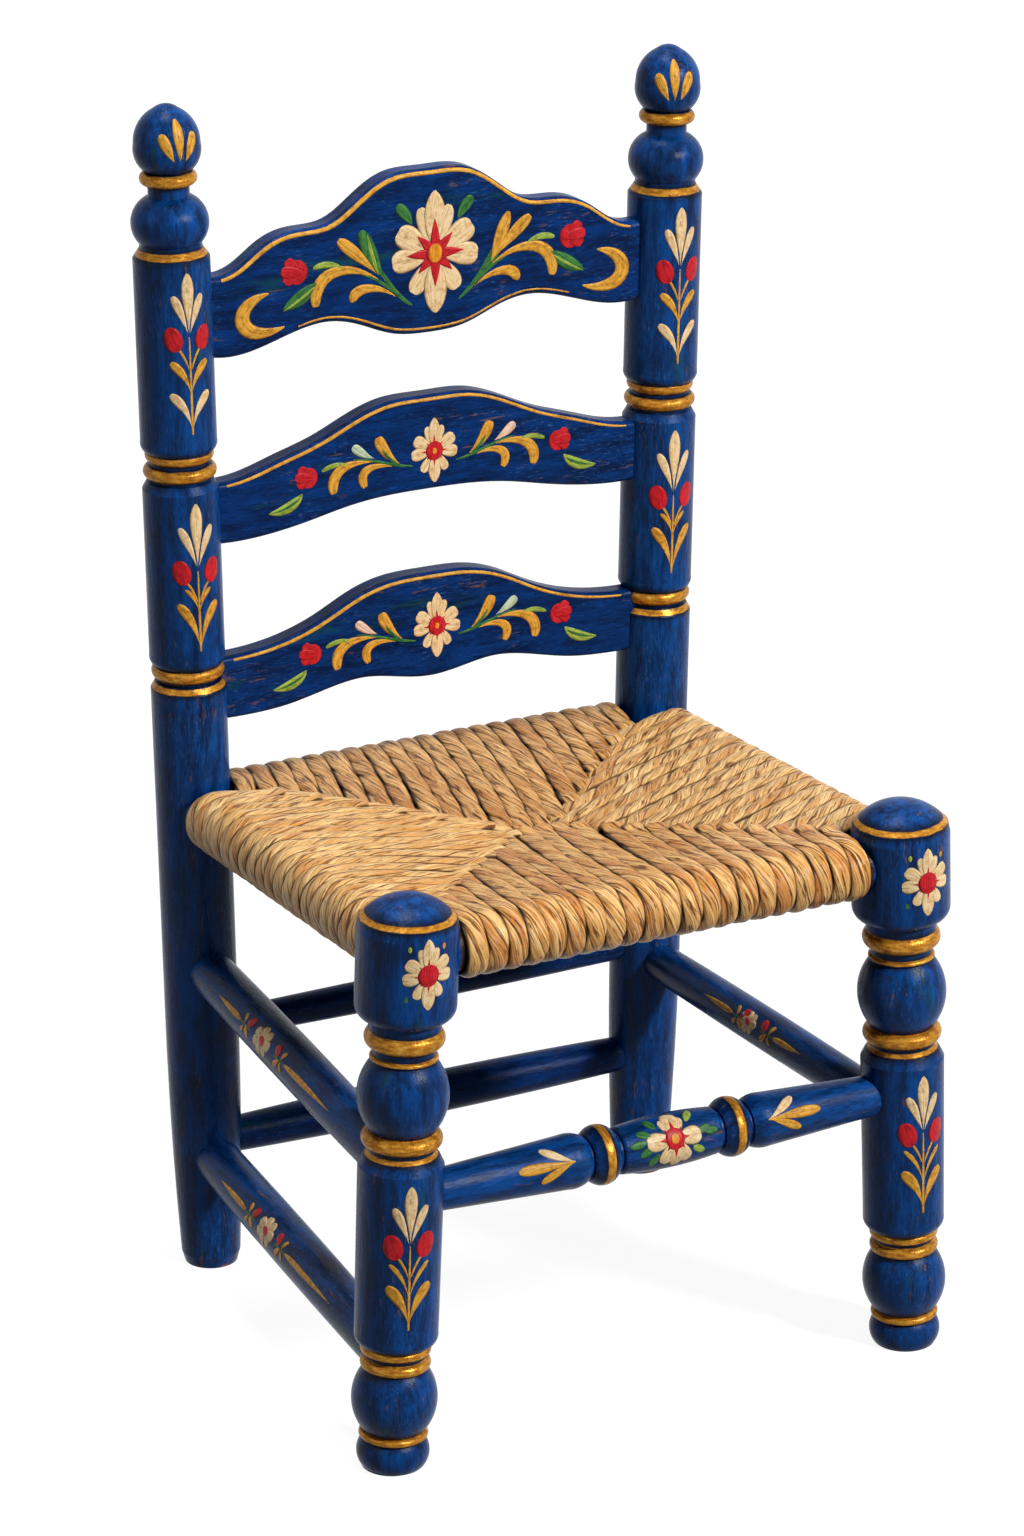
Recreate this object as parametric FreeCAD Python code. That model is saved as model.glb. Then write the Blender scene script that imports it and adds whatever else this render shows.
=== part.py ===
import FreeCAD, Part
import math
import os

# Painted child's chair with a rush seat, in millimetres.
# +Z is up, the chair faces -Y, and the origin is on the floor under the middle of its outline.

# Overall frame
leg_height = 300.0
post_height = 630.9
frame_depth = 253.9
front_foot_spread = 147.8
front_head_spread = 136.6
rear_foot_spread = 130.2
rear_top_spread = 142.0

# Clearances
joint_clearance = 0.1
soft_clearance = 0.3
overrun = 4.0

# Front leg turning, radii and heights of its parts from the floor up
foot_base_radius = 15.5
foot_radius = 18.2
foot_height = 15.0
foot_neck_radius = 15.2
low_ring_radius = 17.3
low_ring_height = 4.0
ball_radius = 21.4
ball_height = 33.5
ball_neck_radius = 15.8
ankle_ring_radius = 17.6
ankle_ring_height = 6.0
ankle_groove_radius = 15.3
ankle_groove_height = 1.8
ankle_collar_height = 5.2
column_foot_radius = 16.6
column_foot_round = 6.5
column_low_radius = 20.8
column_top_radius = 21.3

# Front leg turning, from the top down
dome_height = 8.8
dome_radius = 21.2
head_edge_height = 2.4
head_edge_radius = 23.9
head_crown_height = 5.0
head_radius = 24.9
head_height = 55.0
head_round = 8.0
neck_radius = 17.8
neck_height = 5.6
big_bead_radius = 19.8
big_bead_height = 9.0
bead_groove_radius = 15.6
big_groove_height = 3.8
thin_ring_radius = 16.9
thin_ring_height = 3.0
vase_top_radius = 16.0
vase_radius = 22.3
vase_foot_radius = 16.9
vase_height = 35.6
vase_belly_share = 0.37
vase_gap = 1.2
mid_bead_radius = 20.1
mid_bead_height = 8.0
mid_groove_radius = 16.5
mid_groove_height = 2.4
column_ring_radius = 19.1
column_ring_height = 3.0
column_head_round = 4.4

# Rear post turning, from the top down
egg_height = 34.0
egg_radius = 16.8
egg_belly_height = 14.5
egg_foot_radius = 11.6
egg_tip_radius = 6.4
egg_tip_height = 2.3
egg_flank_share = 0.24
egg_flank_rise_share = 0.56
collar_bead_radius = 14.6
collar_bead_height = 6.8
finial_neck_radius = 10.5
finial_neck_height = 5.6
bulb_radius = 19.6
bulb_height = 24.0
bulb_neck_radius = 15.8
bulb_neck_height = 2.0
band_foot_height = 5.5
post_radius = 19.5
post_edge_radius = 17.2
post_edge_round = 6.0
small_ring_radius = 17.5
small_ring_height = 5.0
ring_groove_radius = 15.6
ring_groove_height = 1.8
large_ring_radius = 18.8
large_ring_height = 7.0
under_groove_height = 1.6
band_height = 4.0
post_taper_height = 125.0
post_taper_radius = 19.2
post_ankle_height = 58.0
post_ankle_radius = 17.9
post_toe_height = 6.0
post_toe_radius = 15.7
post_base_radius = 14.0

# Seat rails, wound round with rush; the front rail sits this far below the tops of the legs
front_rail_drop = 31.5
seat_fall = 10.0
rail_radius = 12.3
rail_tenon_radius = 6.5
tenon_stop = 8.0

# Woven rush: a roll round each rail, falling to a short ridge in the middle
rush_thickness = 3.1
seat_middle_rise = 3.2
seat_middle_drop = 7.0
seat_end_gap = 1.3
sheet_start_share = 0.95
corner_ease = 1.5

# Stretchers: heights of the ends, and radii at the ends and in the middle
stretcher_tenon_radius = 6.0
left_upper_front_height = 155.6
left_upper_rear_height = 172.5
left_lower_front_height = 54.4
left_lower_rear_height = 64.4
left_stretcher_end_radius = 11.7
left_stretcher_radius = 12.5
right_stretcher_height = 126.8
right_stretcher_end_radius = 10.0
right_stretcher_radius = 10.9
rear_upper_height = 133.5
rear_upper_end_radius = 7.4
rear_upper_radius = 8.8
rear_lower_height = 69.2
rear_lower_end_radius = 9.2
rear_lower_radius = 11.4

# Front stretcher turning, outward from its middle
front_stretcher_height = 142.2
front_pattern_shift = 4.0
barrel_length = 56.0
barrel_radius = 13.7
barrel_end_radius = 12.2
barrel_round = 2.6
stretcher_groove_radius = 10.4
stretcher_groove_length = 1.6
stretcher_bead_length = 14.6
stretcher_bead_radius = 15.4
stretcher_bead_edge_radius = 11.6
swell_start_radius = 11.6
swell_length = 11.0
swell_radius = 13.8
front_stretcher_end_radius = 9.9

# Back slats: how far down each one sits, in shares of the back between seat and top
slat_thickness = 14.0
slat_edge_round = 3.0
slat_tenon_thickness = 8.0
slat_tenon_shoulder = 3.5
slat_tenon_stop = 5.5
top_slat_middle_share = 0.758
middle_slat_middle_share = 0.482
lower_slat_middle_share = 0.2135
ring_level_shares = (0.520, 0.2137)

# Half outlines of the slats: share of the half span, share of the half height,
# from the middle of the slat to its end
top_slat_half_height = 42.0
top_slat_upper_shares = ((0.0, 1.0), (0.17, 0.975), (0.33, 0.72), (0.47, 0.475), (0.64, 0.435),
                         (0.76, 0.315), (0.88, 0.08), (1.0, 0.0))
top_slat_lower_shares = ((0.0, -1.055), (0.17, -1.01), (0.33, -0.835), (0.47, -0.75), (0.64, -0.83),
                         (0.81, -0.975), (1.0, -1.0))
middle_slat_half_height = 30.0
middle_slat_upper_shares = ((0.0, 0.845), (0.2, 0.82), (0.36, 0.62), (0.52, 0.335), (0.72, 0.08),
                            (0.88, -0.11), (1.0, -0.167))
middle_slat_lower_shares = ((0.0, -0.845), (0.2, -0.86), (0.4, -0.95), (0.57, -1.09), (0.78, -1.225),
                            (1.0, -1.255))
lower_slat_half_height = 28.0
lower_slat_upper_shares = ((0.0, 1.045), (0.2, 1.01), (0.36, 0.82), (0.52, 0.49), (0.7, 0.215),
                           (0.86, 0.09), (1.0, 0.055))
lower_slat_lower_shares = ((0.0, -1.0), (0.17, -0.91), (0.32, -0.82), (0.5, -0.91), (0.7, -1.09),
                           (0.86, -1.15), (1.0, -1.155))

# Pegs through the posts into the slats' tenons, driven from behind
peg_radius = 1.6
peg_proud = 0.4
peg_reach = 5.0


# Places worked out from the sizes above
front_y = -(frame_depth + post_radius + peg_proud - head_radius) / 2
rear_y = front_y + frame_depth
front_lean = math.atan((front_foot_spread - front_head_spread) / leg_height)
rear_lean = -math.atan((rear_top_spread - rear_foot_spread) / post_height)
front_rail_height = leg_height - front_rail_drop
rear_rail_height = front_rail_height - seat_fall
roll_radius = rail_radius + soft_clearance + rush_thickness
back_height = post_height - rear_rail_height


def leg_x(height):
    return front_foot_spread - height * math.tan(front_lean)


def post_x(height):
    return rear_foot_spread - height * math.tan(rear_lean)


def vec(x, y, z):
    return FreeCAD.Vector(x, y, z)


# Turned work: an outline is a start point and then line ends (radius, height)
# or arcs (radius, height of a point on the way, radius, height of the end)
def turned(outline, grow=0.0):
    low = outline[0][-1]
    start = vec(outline[0][0] + grow, 0, low)
    edges = [Part.makeLine(vec(0, 0, low), start)]
    for step in outline[1:]:
        end = vec(step[-2] + grow, 0, step[-1])
        if len(step) == 4:
            through = vec(step[0] + grow, 0, step[1])
            edges.append(Part.Arc(start, through, end).toShape())
        else:
            edges.append(Part.makeLine(start, end))
        start = end
    if start.x > 0:
        edges.append(Part.makeLine(start, vec(0, 0, start.z)))
    edges.append(Part.makeLine(vec(0, 0, start.z), vec(0, 0, low)))
    face = Part.Face(Part.Wire(edges))
    return face.revolve(vec(0, 0, 0), vec(0, 0, 1), 360)


def bead(radius, root, low, height):
    return (radius, low + height / 2, root, low + height)


def round_cap(radius, drop, top):
    # A spherical cap centred on the axis, from its top down to the given radius
    ball = (radius * radius + drop * drop) / (2 * drop)
    half_turn = math.asin(radius / ball) / 2
    return (ball * math.sin(half_turn), top - ball * (1 - math.cos(half_turn)), radius, top - drop)


def front_leg_outline():
    path = [(foot_base_radius, -overrun), (foot_base_radius, 0)]
    level = foot_height
    path.append((foot_radius, foot_height / 2, foot_neck_radius, level))
    path.append(bead(low_ring_radius, foot_neck_radius, level, low_ring_height))
    level += low_ring_height
    path.append((ball_radius, level + ball_height / 2, ball_neck_radius, level + ball_height))
    level += ball_height
    path.append(bead(ankle_ring_radius, ankle_groove_radius, level, ankle_ring_height))
    level += ankle_ring_height + ankle_groove_height
    path.append((ankle_groove_radius, level))
    path.append(bead(ankle_ring_radius, column_foot_radius, level, ankle_collar_height))
    level += ankle_collar_height
    corner = math.sqrt(0.5)
    path.append((column_foot_radius + (column_low_radius - column_foot_radius) * corner,
                 level + column_foot_round * (1 - corner),
                 column_low_radius, level + column_foot_round))
    # The upper group is measured from the top, so the column takes up a change of height
    above = [(0, leg_height)]
    level = leg_height - dome_height
    above.append(round_cap(dome_radius, dome_height, leg_height))
    level -= head_edge_height
    above.append((head_edge_radius, level))
    above.append((head_radius, level - head_crown_height))
    level = leg_height - head_height
    above.append((head_radius, level))
    above.append((neck_radius + (head_radius - neck_radius) * corner, level - head_round * corner,
                  neck_radius, level - head_round))
    level -= head_round + neck_height
    above.append((neck_radius, level))
    above.append((big_bead_radius, level - big_bead_height / 2,
                  bead_groove_radius, level - big_bead_height))
    level -= big_bead_height + big_groove_height
    above.append((bead_groove_radius, level))
    above.append((thin_ring_radius, level - thin_ring_height / 2,
                  vase_top_radius, level - thin_ring_height))
    level -= thin_ring_height + vase_height
    belly = level + vase_height * vase_belly_share
    above.append((vase_radius, belly, vase_foot_radius, level))
    level -= vase_gap
    above.append((mid_groove_radius, level))
    above.append((mid_bead_radius, level - mid_bead_height / 2,
                  mid_groove_radius, level - mid_bead_height))
    level -= mid_bead_height + mid_groove_height
    above.append((mid_groove_radius, level))
    above.append((column_ring_radius, level - column_ring_height))
    level -= column_ring_height + column_head_round
    above.append((column_top_radius, level))
    return path + turned_over(above)


def turned_over(steps):
    # The same outline, walked from its last point back to its first
    back = [(steps[-1][-2], steps[-1][-1])]
    for later, earlier in zip(reversed(steps[1:]), reversed(steps[:-1])):
        if len(later) == 4:
            back.append((later[0], later[1], earlier[-2], earlier[-1]))
        else:
            back.append((earlier[-2], earlier[-1]))
    return back


def ring_group(level, double):
    # The gold rings between two lengths of post: edge, ring, groove, ring, groove, edge
    steps = []
    if double:
        steps.append((small_ring_radius, level - small_ring_height / 2,
                      ring_groove_radius, level - small_ring_height))
        level -= small_ring_height + ring_groove_height
        steps.append((ring_groove_radius, level))
    steps.append((large_ring_radius, level - large_ring_height / 2,
                  ring_groove_radius, level - large_ring_height))
    level -= large_ring_height + under_groove_height
    steps.append((ring_groove_radius, level))
    steps.append((post_edge_radius, level))
    steps.append((post_radius, level - band_height))
    return steps


def rear_post_outline():
    corner = math.sqrt(0.5)
    above = [(0, post_height)]
    above.append(round_cap(egg_tip_radius, egg_tip_height, post_height))
    belly = post_height - egg_height + egg_belly_height
    flank = belly - (post_height - egg_tip_height)
    above.append((egg_radius + (egg_tip_radius - egg_radius) * egg_flank_share,
                  belly - flank * egg_flank_rise_share, egg_radius, belly))
    above.append((egg_radius + (egg_foot_radius - egg_radius) * (1 - corner),
                  belly - egg_belly_height * corner, egg_foot_radius, post_height - egg_height))
    level = post_height - egg_height
    above.append((collar_bead_radius, level - collar_bead_height / 2,
                  finial_neck_radius, level - collar_bead_height))
    level -= collar_bead_height + finial_neck_height
    above.append((finial_neck_radius, level))
    above.append((bulb_radius, level - bulb_height / 2, bulb_neck_radius, level - bulb_height))
    level -= bulb_height + bulb_neck_height
    above.append((bulb_neck_radius, level))
    above.append((post_radius, level - band_foot_height))
    for share, double in zip(ring_level_shares, (True, False)):
        ring_top = rear_rail_height + back_height * share
        above.append((post_radius, ring_top + post_edge_round))
        above.append((post_edge_radius + (post_radius - post_edge_radius) * corner,
                      ring_top + post_edge_round * (1 - corner), post_edge_radius, ring_top))
        above += ring_group(ring_top, double)
    above.append((post_taper_radius, post_taper_height))
    above.append((post_ankle_radius, post_ankle_height, post_toe_radius, post_toe_height))
    above.append((post_base_radius, 0))
    above.append((post_base_radius, -overrun))
    return turned_over(above)


def stand(shape, x, y, lean):
    # Leans the shape about its foot, outwards to the left for a positive lean, and sets it down
    shape = shape.copy()
    shape.rotate(vec(0, 0, 0), vec(0, 1, 0), math.degrees(lean))
    shape.translate(vec(x, y, 0))
    return shape


def above_floor(shape):
    reach = post_height
    floor = Part.makeBox(2 * reach, 2 * reach, reach, vec(-reach, -reach, -reach))
    return shape.cut(floor)


def upright(side, front, grow=0.0):
    # A front leg or rear post; side is -1 on the left and +1 on the right
    if front:
        return stand(turned(front_leg_outline(), grow), side * front_foot_spread, front_y,
                     -side * front_lean)
    return stand(turned(rear_post_outline(), grow), side * rear_foot_spread, rear_y,
                 -side * rear_lean)


# Round cross pieces: an outline along the length between two uprights' axes
def aimed(shape, start, end):
    # Turns a shape drawn along +Z from the origin so that it runs from start towards end
    direction = (end - start).normalize()
    axis = vec(0, 0, 1).cross(direction)
    shape = shape.copy()
    shape.rotate(vec(0, 0, 0), axis, math.degrees(math.acos(direction.z)))
    shape.translate(start)
    return shape


def barrel_outline(length, end_radius, middle_radius, inset):
    return [(end_radius, inset), (middle_radius, length / 2, end_radius, length - inset)]


def tenons(start, end, radius, grow=0.0):
    # Both tenons, from where each stops short of its upright's axis to inside the cross piece
    length = (end - start).Length
    reach = head_radius + overrun - tenon_stop
    low = aimed(Part.makeCylinder(radius + grow, reach + grow, vec(0, 0, tenon_stop - grow)),
                start, end)
    high = aimed(Part.makeCylinder(radius + grow, reach + grow,
                                   vec(0, 0, length - tenon_stop - reach)), start, end)
    return low.fuse(high)


def cross_piece(outline, start, end, tenon_radius, uprights):
    body = aimed(turned(outline), start, end)
    for envelope in uprights:
        body = body.cut(envelope)
    whole = body.fuse(tenons(start, end, tenon_radius))
    return whole.removeSplitter()


def front_stretcher_outline(length, inset):
    # From the middle out to the right end, and the same mirrored to the left
    half = []
    level = barrel_length / 2 - barrel_round
    half.append((barrel_end_radius, level))
    corner = math.sqrt(0.5)
    half.append((stretcher_groove_radius + (barrel_end_radius - stretcher_groove_radius) * corner,
                 level + barrel_round * corner, stretcher_groove_radius, level + barrel_round))
    level += barrel_round + stretcher_groove_length
    half.append((stretcher_groove_radius, level))
    half.append((stretcher_bead_edge_radius, level))
    half.append(bead(stretcher_bead_radius, stretcher_bead_edge_radius, level, stretcher_bead_length))
    level += stretcher_bead_length
    half.append((stretcher_groove_radius, level))
    level += stretcher_groove_length
    half.append((stretcher_groove_radius, level))
    half.append((swell_start_radius, level))
    half.append((swell_radius - (swell_radius - swell_start_radius) * (1 - corner),
                 level + swell_length * (1 - corner), swell_radius, level + swell_length))
    level += swell_length
    right = list(half)
    right.append((front_stretcher_end_radius, length / 2 - inset - front_pattern_shift))
    left = list(half)
    left.append((front_stretcher_end_radius, length / 2 - inset + front_pattern_shift))
    path = turned_over([flipped(step) for step in left])
    path.append((barrel_radius, 0, barrel_end_radius, barrel_length / 2 - barrel_round))
    path += right[1:]
    middle = length / 2 + front_pattern_shift
    return [shifted(step, middle) for step in path]


def flipped(step):
    if len(step) == 4:
        return (step[0], -step[1], step[2], -step[3])
    return (step[0], -step[1])


def shifted(step, by):
    if len(step) == 4:
        return (step[0], step[1] + by, step[2], step[3] + by)
    return (step[0], step[1] + by)


# Back slats
def slat_edge(shares, half_height, middle, reach):
    points = [vec(-reach * s, 0, middle + half_height * h) for s, h in reversed(shares)]
    points += [vec(reach * s, 0, middle + half_height * h) for s, h in shares[1:]]
    curve = Part.BSplineCurve()
    curve.interpolate(points)
    return curve.toShape()


def slat(upper_shares, lower_shares, half_height, middle, envelopes):
    reach = post_x(middle) - post_radius
    inside = post_radius / 2
    upper = slat_edge(upper_shares, half_height, middle, reach)
    lower = slat_edge(lower_shares, half_height, middle, reach)
    ends = []
    for side in (-1, 1):
        top = vec(side * reach, 0, middle + half_height * upper_shares[-1][1])
        bottom = vec(side * reach, 0, middle + half_height * lower_shares[-1][1])
        ends.append((top, bottom))
    out = vec(inside, 0, 0)
    edges = [upper, lower]
    for side, (top, bottom) in zip((-1, 1), ends):
        edges.append(Part.makeLine(top, top + out * side))
        edges.append(Part.makeLine(top + out * side, bottom + out * side))
        edges.append(Part.makeLine(bottom + out * side, bottom))
    face = Part.Face(Part.Wire(Part.__sortEdges__(edges)))
    board = face.extrude(vec(0, slat_thickness, 0))
    board.translate(vec(0, rear_y - slat_thickness / 2, 0))
    long_edges = []
    for edge in board.Edges:
        box = edge.BoundBox
        flat = box.YLength < slat_thickness / 2
        if flat and box.XLength > inside / 2:
            long_edges.append(edge)
    board = board.makeFillet(slat_edge_round, long_edges)
    for envelope in envelopes:
        board = board.cut(envelope)
    low = middle + half_height * lower_shares[-1][1] + slat_tenon_shoulder
    high = middle + half_height * upper_shares[-1][1] - slat_tenon_shoulder
    return board.fuse(slat_tenon(low, high, middle)).removeSplitter()


def slat_tenon(low, high, middle, grow=0.0):
    # One bar through both ends' mortises; its middle is inside the slat
    inner = post_x(middle) - post_radius - overrun
    outer = post_x(middle) - slat_tenon_stop + grow
    bars = []
    for side in (-1, 1):
        start = min(side * inner, side * outer)
        bars.append(Part.makeBox(outer - inner, slat_tenon_thickness + 2 * grow,
                                 high - low + 2 * grow,
                                 vec(start, rear_y - slat_tenon_thickness / 2 - grow, low - grow)))
    return bars[0].fuse(bars[1])


def slat_pegs(middles, grow=0.0):
    pegs = []
    start = -slat_tenon_thickness / 2 - grow
    length = post_radius + peg_proud - start
    for middle in middles:
        across = post_x(middle) - slat_tenon_stop - peg_reach
        for side in (-1, 1):
            pegs.append(Part.makeCylinder(peg_radius + grow, length,
                                          vec(side * across, rear_y + start, middle), vec(0, 1, 0)))
    return pegs


# Woven seat
def seat_corner(side, front):
    if front:
        return vec(side * leg_x(front_rail_height), front_y, front_rail_height)
    return vec(side * post_x(rear_rail_height), rear_y, rear_rail_height)


def seat_ridge(side):
    middle_height = (front_rail_height + rear_rail_height) / 2
    mean_spread = (leg_x(front_rail_height) + post_x(rear_rail_height)) / 2
    return vec(side * (mean_spread - frame_depth / 2), (front_y + rear_y) / 2, middle_height)


def hip_solid(inset):
    # Four sloping panels above and four below, from the rails' axes to the ridge,
    # all of them moved in by the inset
    edge = roll_radius * sheet_start_share - inset
    middle_rise = seat_middle_rise - inset
    middle_drop = seat_middle_drop - inset
    corners = [seat_corner(-1, True), seat_corner(1, True), seat_corner(1, False),
               seat_corner(-1, False)]
    ridges = [seat_ridge(-1), seat_ridge(1)]
    faces = []
    for lift, middle in ((edge, middle_rise), (-edge, -middle_drop)):
        outer = [corner + vec(0, 0, lift) for corner in corners]
        left = ridges[0] + vec(0, 0, middle)
        right = ridges[1] + vec(0, 0, middle)
        faces.append(panel(outer[0], outer[1], right, left))
        faces.append(panel(outer[1], outer[2], right))
        faces.append(panel(outer[2], outer[3], left, right))
        faces.append(panel(outer[3], outer[0], left))
    for first, second in zip(corners, corners[1:] + corners[:1]):
        up = vec(0, 0, edge)
        faces.append(panel(first + up, second + up, second - up, first - up))
    solid = Part.Solid(Part.Shell(faces))
    if solid.Volume < 0:
        solid.reverse()
    return solid


def panel(*points):
    return Part.Face(Part.makePolygon(list(points) + [points[0]]))


seat_sides = {
    "front": (seat_corner(-1, True), seat_corner(1, True)),
    "rear": (seat_corner(-1, False), seat_corner(1, False)),
    "left": (seat_corner(-1, True), seat_corner(-1, False)),
    "right": (seat_corner(1, True), seat_corner(1, False)),
}


def tube_along(side, radius, first_gap, last_gap):
    start, end = seat_sides[side]
    length = (end - start).Length
    return aimed(Part.makeCylinder(radius, length - first_gap - last_gap, vec(0, 0, first_gap)),
                 start, end)


def roll_gaps(side):
    # How far each end of a roll of rush stays from the axis of the upright there
    leg_gap = head_radius + seat_end_gap
    post_gap = post_radius + seat_end_gap
    if side == "front":
        return leg_gap, leg_gap
    if side == "rear":
        return post_gap, post_gap
    return leg_gap, post_gap


def corner_block(side, front, half_x, half_y):
    corner = seat_corner(side, front)
    half_z = 2 * roll_radius
    return Part.makeBox(2 * half_x, 2 * half_y, 2 * half_z,
                        vec(corner.x - half_x, corner.y - half_y, corner.z - half_z))


def corner_strips():
    # The lengths of rail beside each upright that the rolls of rush leave bare
    strips = []
    for side in (-1, 1):
        for front in (True, False):
            gap = (head_radius if front else post_radius) + seat_end_gap + corner_ease
            half_width = roll_radius - corner_ease
            strips.append(corner_block(side, front, gap, half_width))
            strips.append(corner_block(side, front, half_width, gap))
    return strips


def corner_blocks():
    # The space round each upright that the hollow inside the rush keeps away from
    blocks = []
    for side in (-1, 1):
        for front in (True, False):
            gap = (head_radius if front else post_radius) + seat_end_gap + rush_thickness
            blocks.append(corner_block(side, front, gap, gap))
    return blocks


def rush_seat(envelopes):
    solid = hip_solid(0)
    for strip in corner_strips():
        solid = solid.cut(strip)
    for side in seat_sides:
        solid = solid.fuse(tube_along(side, roll_radius, *roll_gaps(side)))
    pocket = hip_solid(rush_thickness)
    for block in corner_blocks():
        pocket = pocket.cut(block)
    solid = solid.cut(pocket)
    for side in seat_sides:
        solid = solid.cut(tube_along(side, rail_radius + soft_clearance, 0, 0))
    for envelope in envelopes:
        solid = solid.cut(envelope)
    return solid


def stuffing(envelopes):
    # One pad under each triangle of the weave, clear of the rush, the rails and each other
    solid = hip_solid(rush_thickness + soft_clearance)
    for side in seat_sides:
        solid = solid.cut(tube_along(side, rail_radius + soft_clearance, 0, 0))
    for block in corner_blocks():
        solid = solid.cut(block)
    for envelope in envelopes:
        solid = solid.cut(envelope)
    for wall in pad_walls():
        solid = solid.cut(wall)
    pads = {}
    for piece in solid.Solids:
        centre = piece.CenterOfMass
        nearest = min(seat_sides, key=lambda name: distance_to_rail(name, centre))
        if nearest not in pads or piece.Volume > pads[nearest].Volume:
            pads[nearest] = piece
    return pads


def distance_to_rail(name, point):
    start, end = seat_sides[name]
    return point.distanceToLine(start, end - start)


def pad_walls():
    # Thin upright walls under the four seams and the ridge
    height = 2 * roll_radius + abs(seat_fall)
    walls = []
    for side in (-1, 1):
        for front in (True, False):
            walls.append(thin_wall(seat_corner(side, front), seat_ridge(side), height))
    walls.append(thin_wall(seat_ridge(-1), seat_ridge(1), height))
    return walls


def thin_wall(start, end, height):
    along = vec(end.x - start.x, end.y - start.y, 0)
    length = along.Length
    wall = Part.makeBox(length, 2 * soft_clearance, 2 * height, vec(0, -soft_clearance, -height))
    wall.rotate(vec(0, 0, 0), vec(0, 0, 1), math.degrees(math.atan2(along.y, along.x)))
    wall.translate(start)
    return wall


# The whole chair
def build():
    nodes = {}
    envelopes = {(side, front): upright(side, front, joint_clearance)
                 for side in (-1, 1) for front in (True, False)}
    soft_envelopes = [upright(side, front, soft_clearance)
                      for side in (-1, 1) for front in (True, False)]
    sockets = {key: [] for key in envelopes}

    def join(name, outline, start, end, tenon_radius, keys):
        nodes[name] = cross_piece(outline, start, end, tenon_radius,
                                  [envelopes[key] for key in keys])
        hole = tenons(start, end, tenon_radius, joint_clearance)
        for key in keys:
            sockets[key].append(hole)

    def side_points(side, front_height, rear_height):
        return (vec(side * leg_x(front_height), front_y, front_height),
                vec(side * post_x(rear_height), rear_y, rear_height))

    left_keys = [(-1, True), (-1, False)]
    right_keys = [(1, True), (1, False)]
    front_keys = [(-1, True), (1, True)]
    rear_keys = [(-1, False), (1, False)]
    inset = tenon_stop

    rail_keys = {"front": front_keys, "rear": rear_keys, "left": left_keys, "right": right_keys}
    for side, (start, end) in seat_sides.items():
        outline = barrel_outline((end - start).Length, rail_radius, rail_radius, inset)
        outline = [outline[0], (rail_radius, outline[1][-1])]
        join(side + "_seat_rail", outline, start, end, rail_tenon_radius, rail_keys[side])

    for name, side, heights, radii in (
            ("left_upper_stretcher", -1, (left_upper_front_height, left_upper_rear_height),
             (left_stretcher_end_radius, left_stretcher_radius)),
            ("left_lower_stretcher", -1, (left_lower_front_height, left_lower_rear_height),
             (left_stretcher_end_radius, left_stretcher_radius)),
            ("right_side_stretcher", 1, (right_stretcher_height, right_stretcher_height),
             (right_stretcher_end_radius, right_stretcher_radius))):
        start, end = side_points(side, *heights)
        outline = barrel_outline((end - start).Length, radii[0], radii[1], inset)
        join(name, outline, start, end, stretcher_tenon_radius,
             left_keys if side < 0 else right_keys)

    for name, height, radii in (
            ("rear_upper_stretcher", rear_upper_height, (rear_upper_end_radius, rear_upper_radius)),
            ("rear_lower_stretcher", rear_lower_height, (rear_lower_end_radius, rear_lower_radius))):
        start = vec(-post_x(height), rear_y, height)
        end = vec(post_x(height), rear_y, height)
        outline = barrel_outline((end - start).Length, radii[0], radii[1], inset)
        join(name, outline, start, end, stretcher_tenon_radius, rear_keys)

    start = vec(-leg_x(front_stretcher_height), front_y, front_stretcher_height)
    end = vec(leg_x(front_stretcher_height), front_y, front_stretcher_height)
    outline = front_stretcher_outline((end - start).Length, inset)
    join("front_stretcher", outline, start, end, stretcher_tenon_radius, front_keys)

    middles = []
    post_envelopes = [envelopes[key] for key in rear_keys]
    mortises = []
    for name, share, half_height, upper, lower in (
            ("top_slat", top_slat_middle_share, top_slat_half_height,
             top_slat_upper_shares, top_slat_lower_shares),
            ("middle_slat", middle_slat_middle_share, middle_slat_half_height,
             middle_slat_upper_shares, middle_slat_lower_shares),
            ("lower_slat", lower_slat_middle_share, lower_slat_half_height,
             lower_slat_upper_shares, lower_slat_lower_shares)):
        middle = rear_rail_height + back_height * share
        nodes[name] = slat(upper, lower, half_height, middle, post_envelopes)
        low = middle + half_height * lower[-1][1] + slat_tenon_shoulder
        high = middle + half_height * upper[-1][1] - slat_tenon_shoulder
        mortises.append(slat_tenon(low, high, middle, joint_clearance))
        middles.append((low + high) / 2)
    peg_holes = slat_pegs(middles, joint_clearance)
    for name in ("top_slat", "middle_slat", "lower_slat"):
        for hole in peg_holes:
            nodes[name] = nodes[name].cut(hole)
    nodes["slat_pegs"] = Part.makeCompound(slat_pegs(middles))

    names = {(-1, True): "front_left_leg", (1, True): "front_right_leg",
             (-1, False): "rear_left_post", (1, False): "rear_right_post"}
    for key, name in names.items():
        shape = above_floor(upright(*key))
        for hole in sockets[key]:
            shape = shape.cut(hole)
        if not key[1]:
            for hole in mortises + peg_holes:
                shape = shape.cut(hole)
        nodes[name] = shape

    nodes["rush_seat"] = rush_seat(soft_envelopes)
    for side, pad in stuffing(soft_envelopes).items():
        nodes[side + "_stuffing"] = pad
    return nodes


os.makedirs("parts", exist_ok=True)
for node, shape in build().items():
    if not shape.isValid():
        print("not valid:", node)
    box = shape.BoundBox
    print(node, len(shape.Solids), "solids", round(shape.Volume / 1000, 2), "cm3",
          [round(value, 1) for value in (box.XMin, box.XMax, box.YMin, box.YMax, box.ZMin, box.ZMax)])
    shape.exportStep("parts/" + node + ".step")
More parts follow.
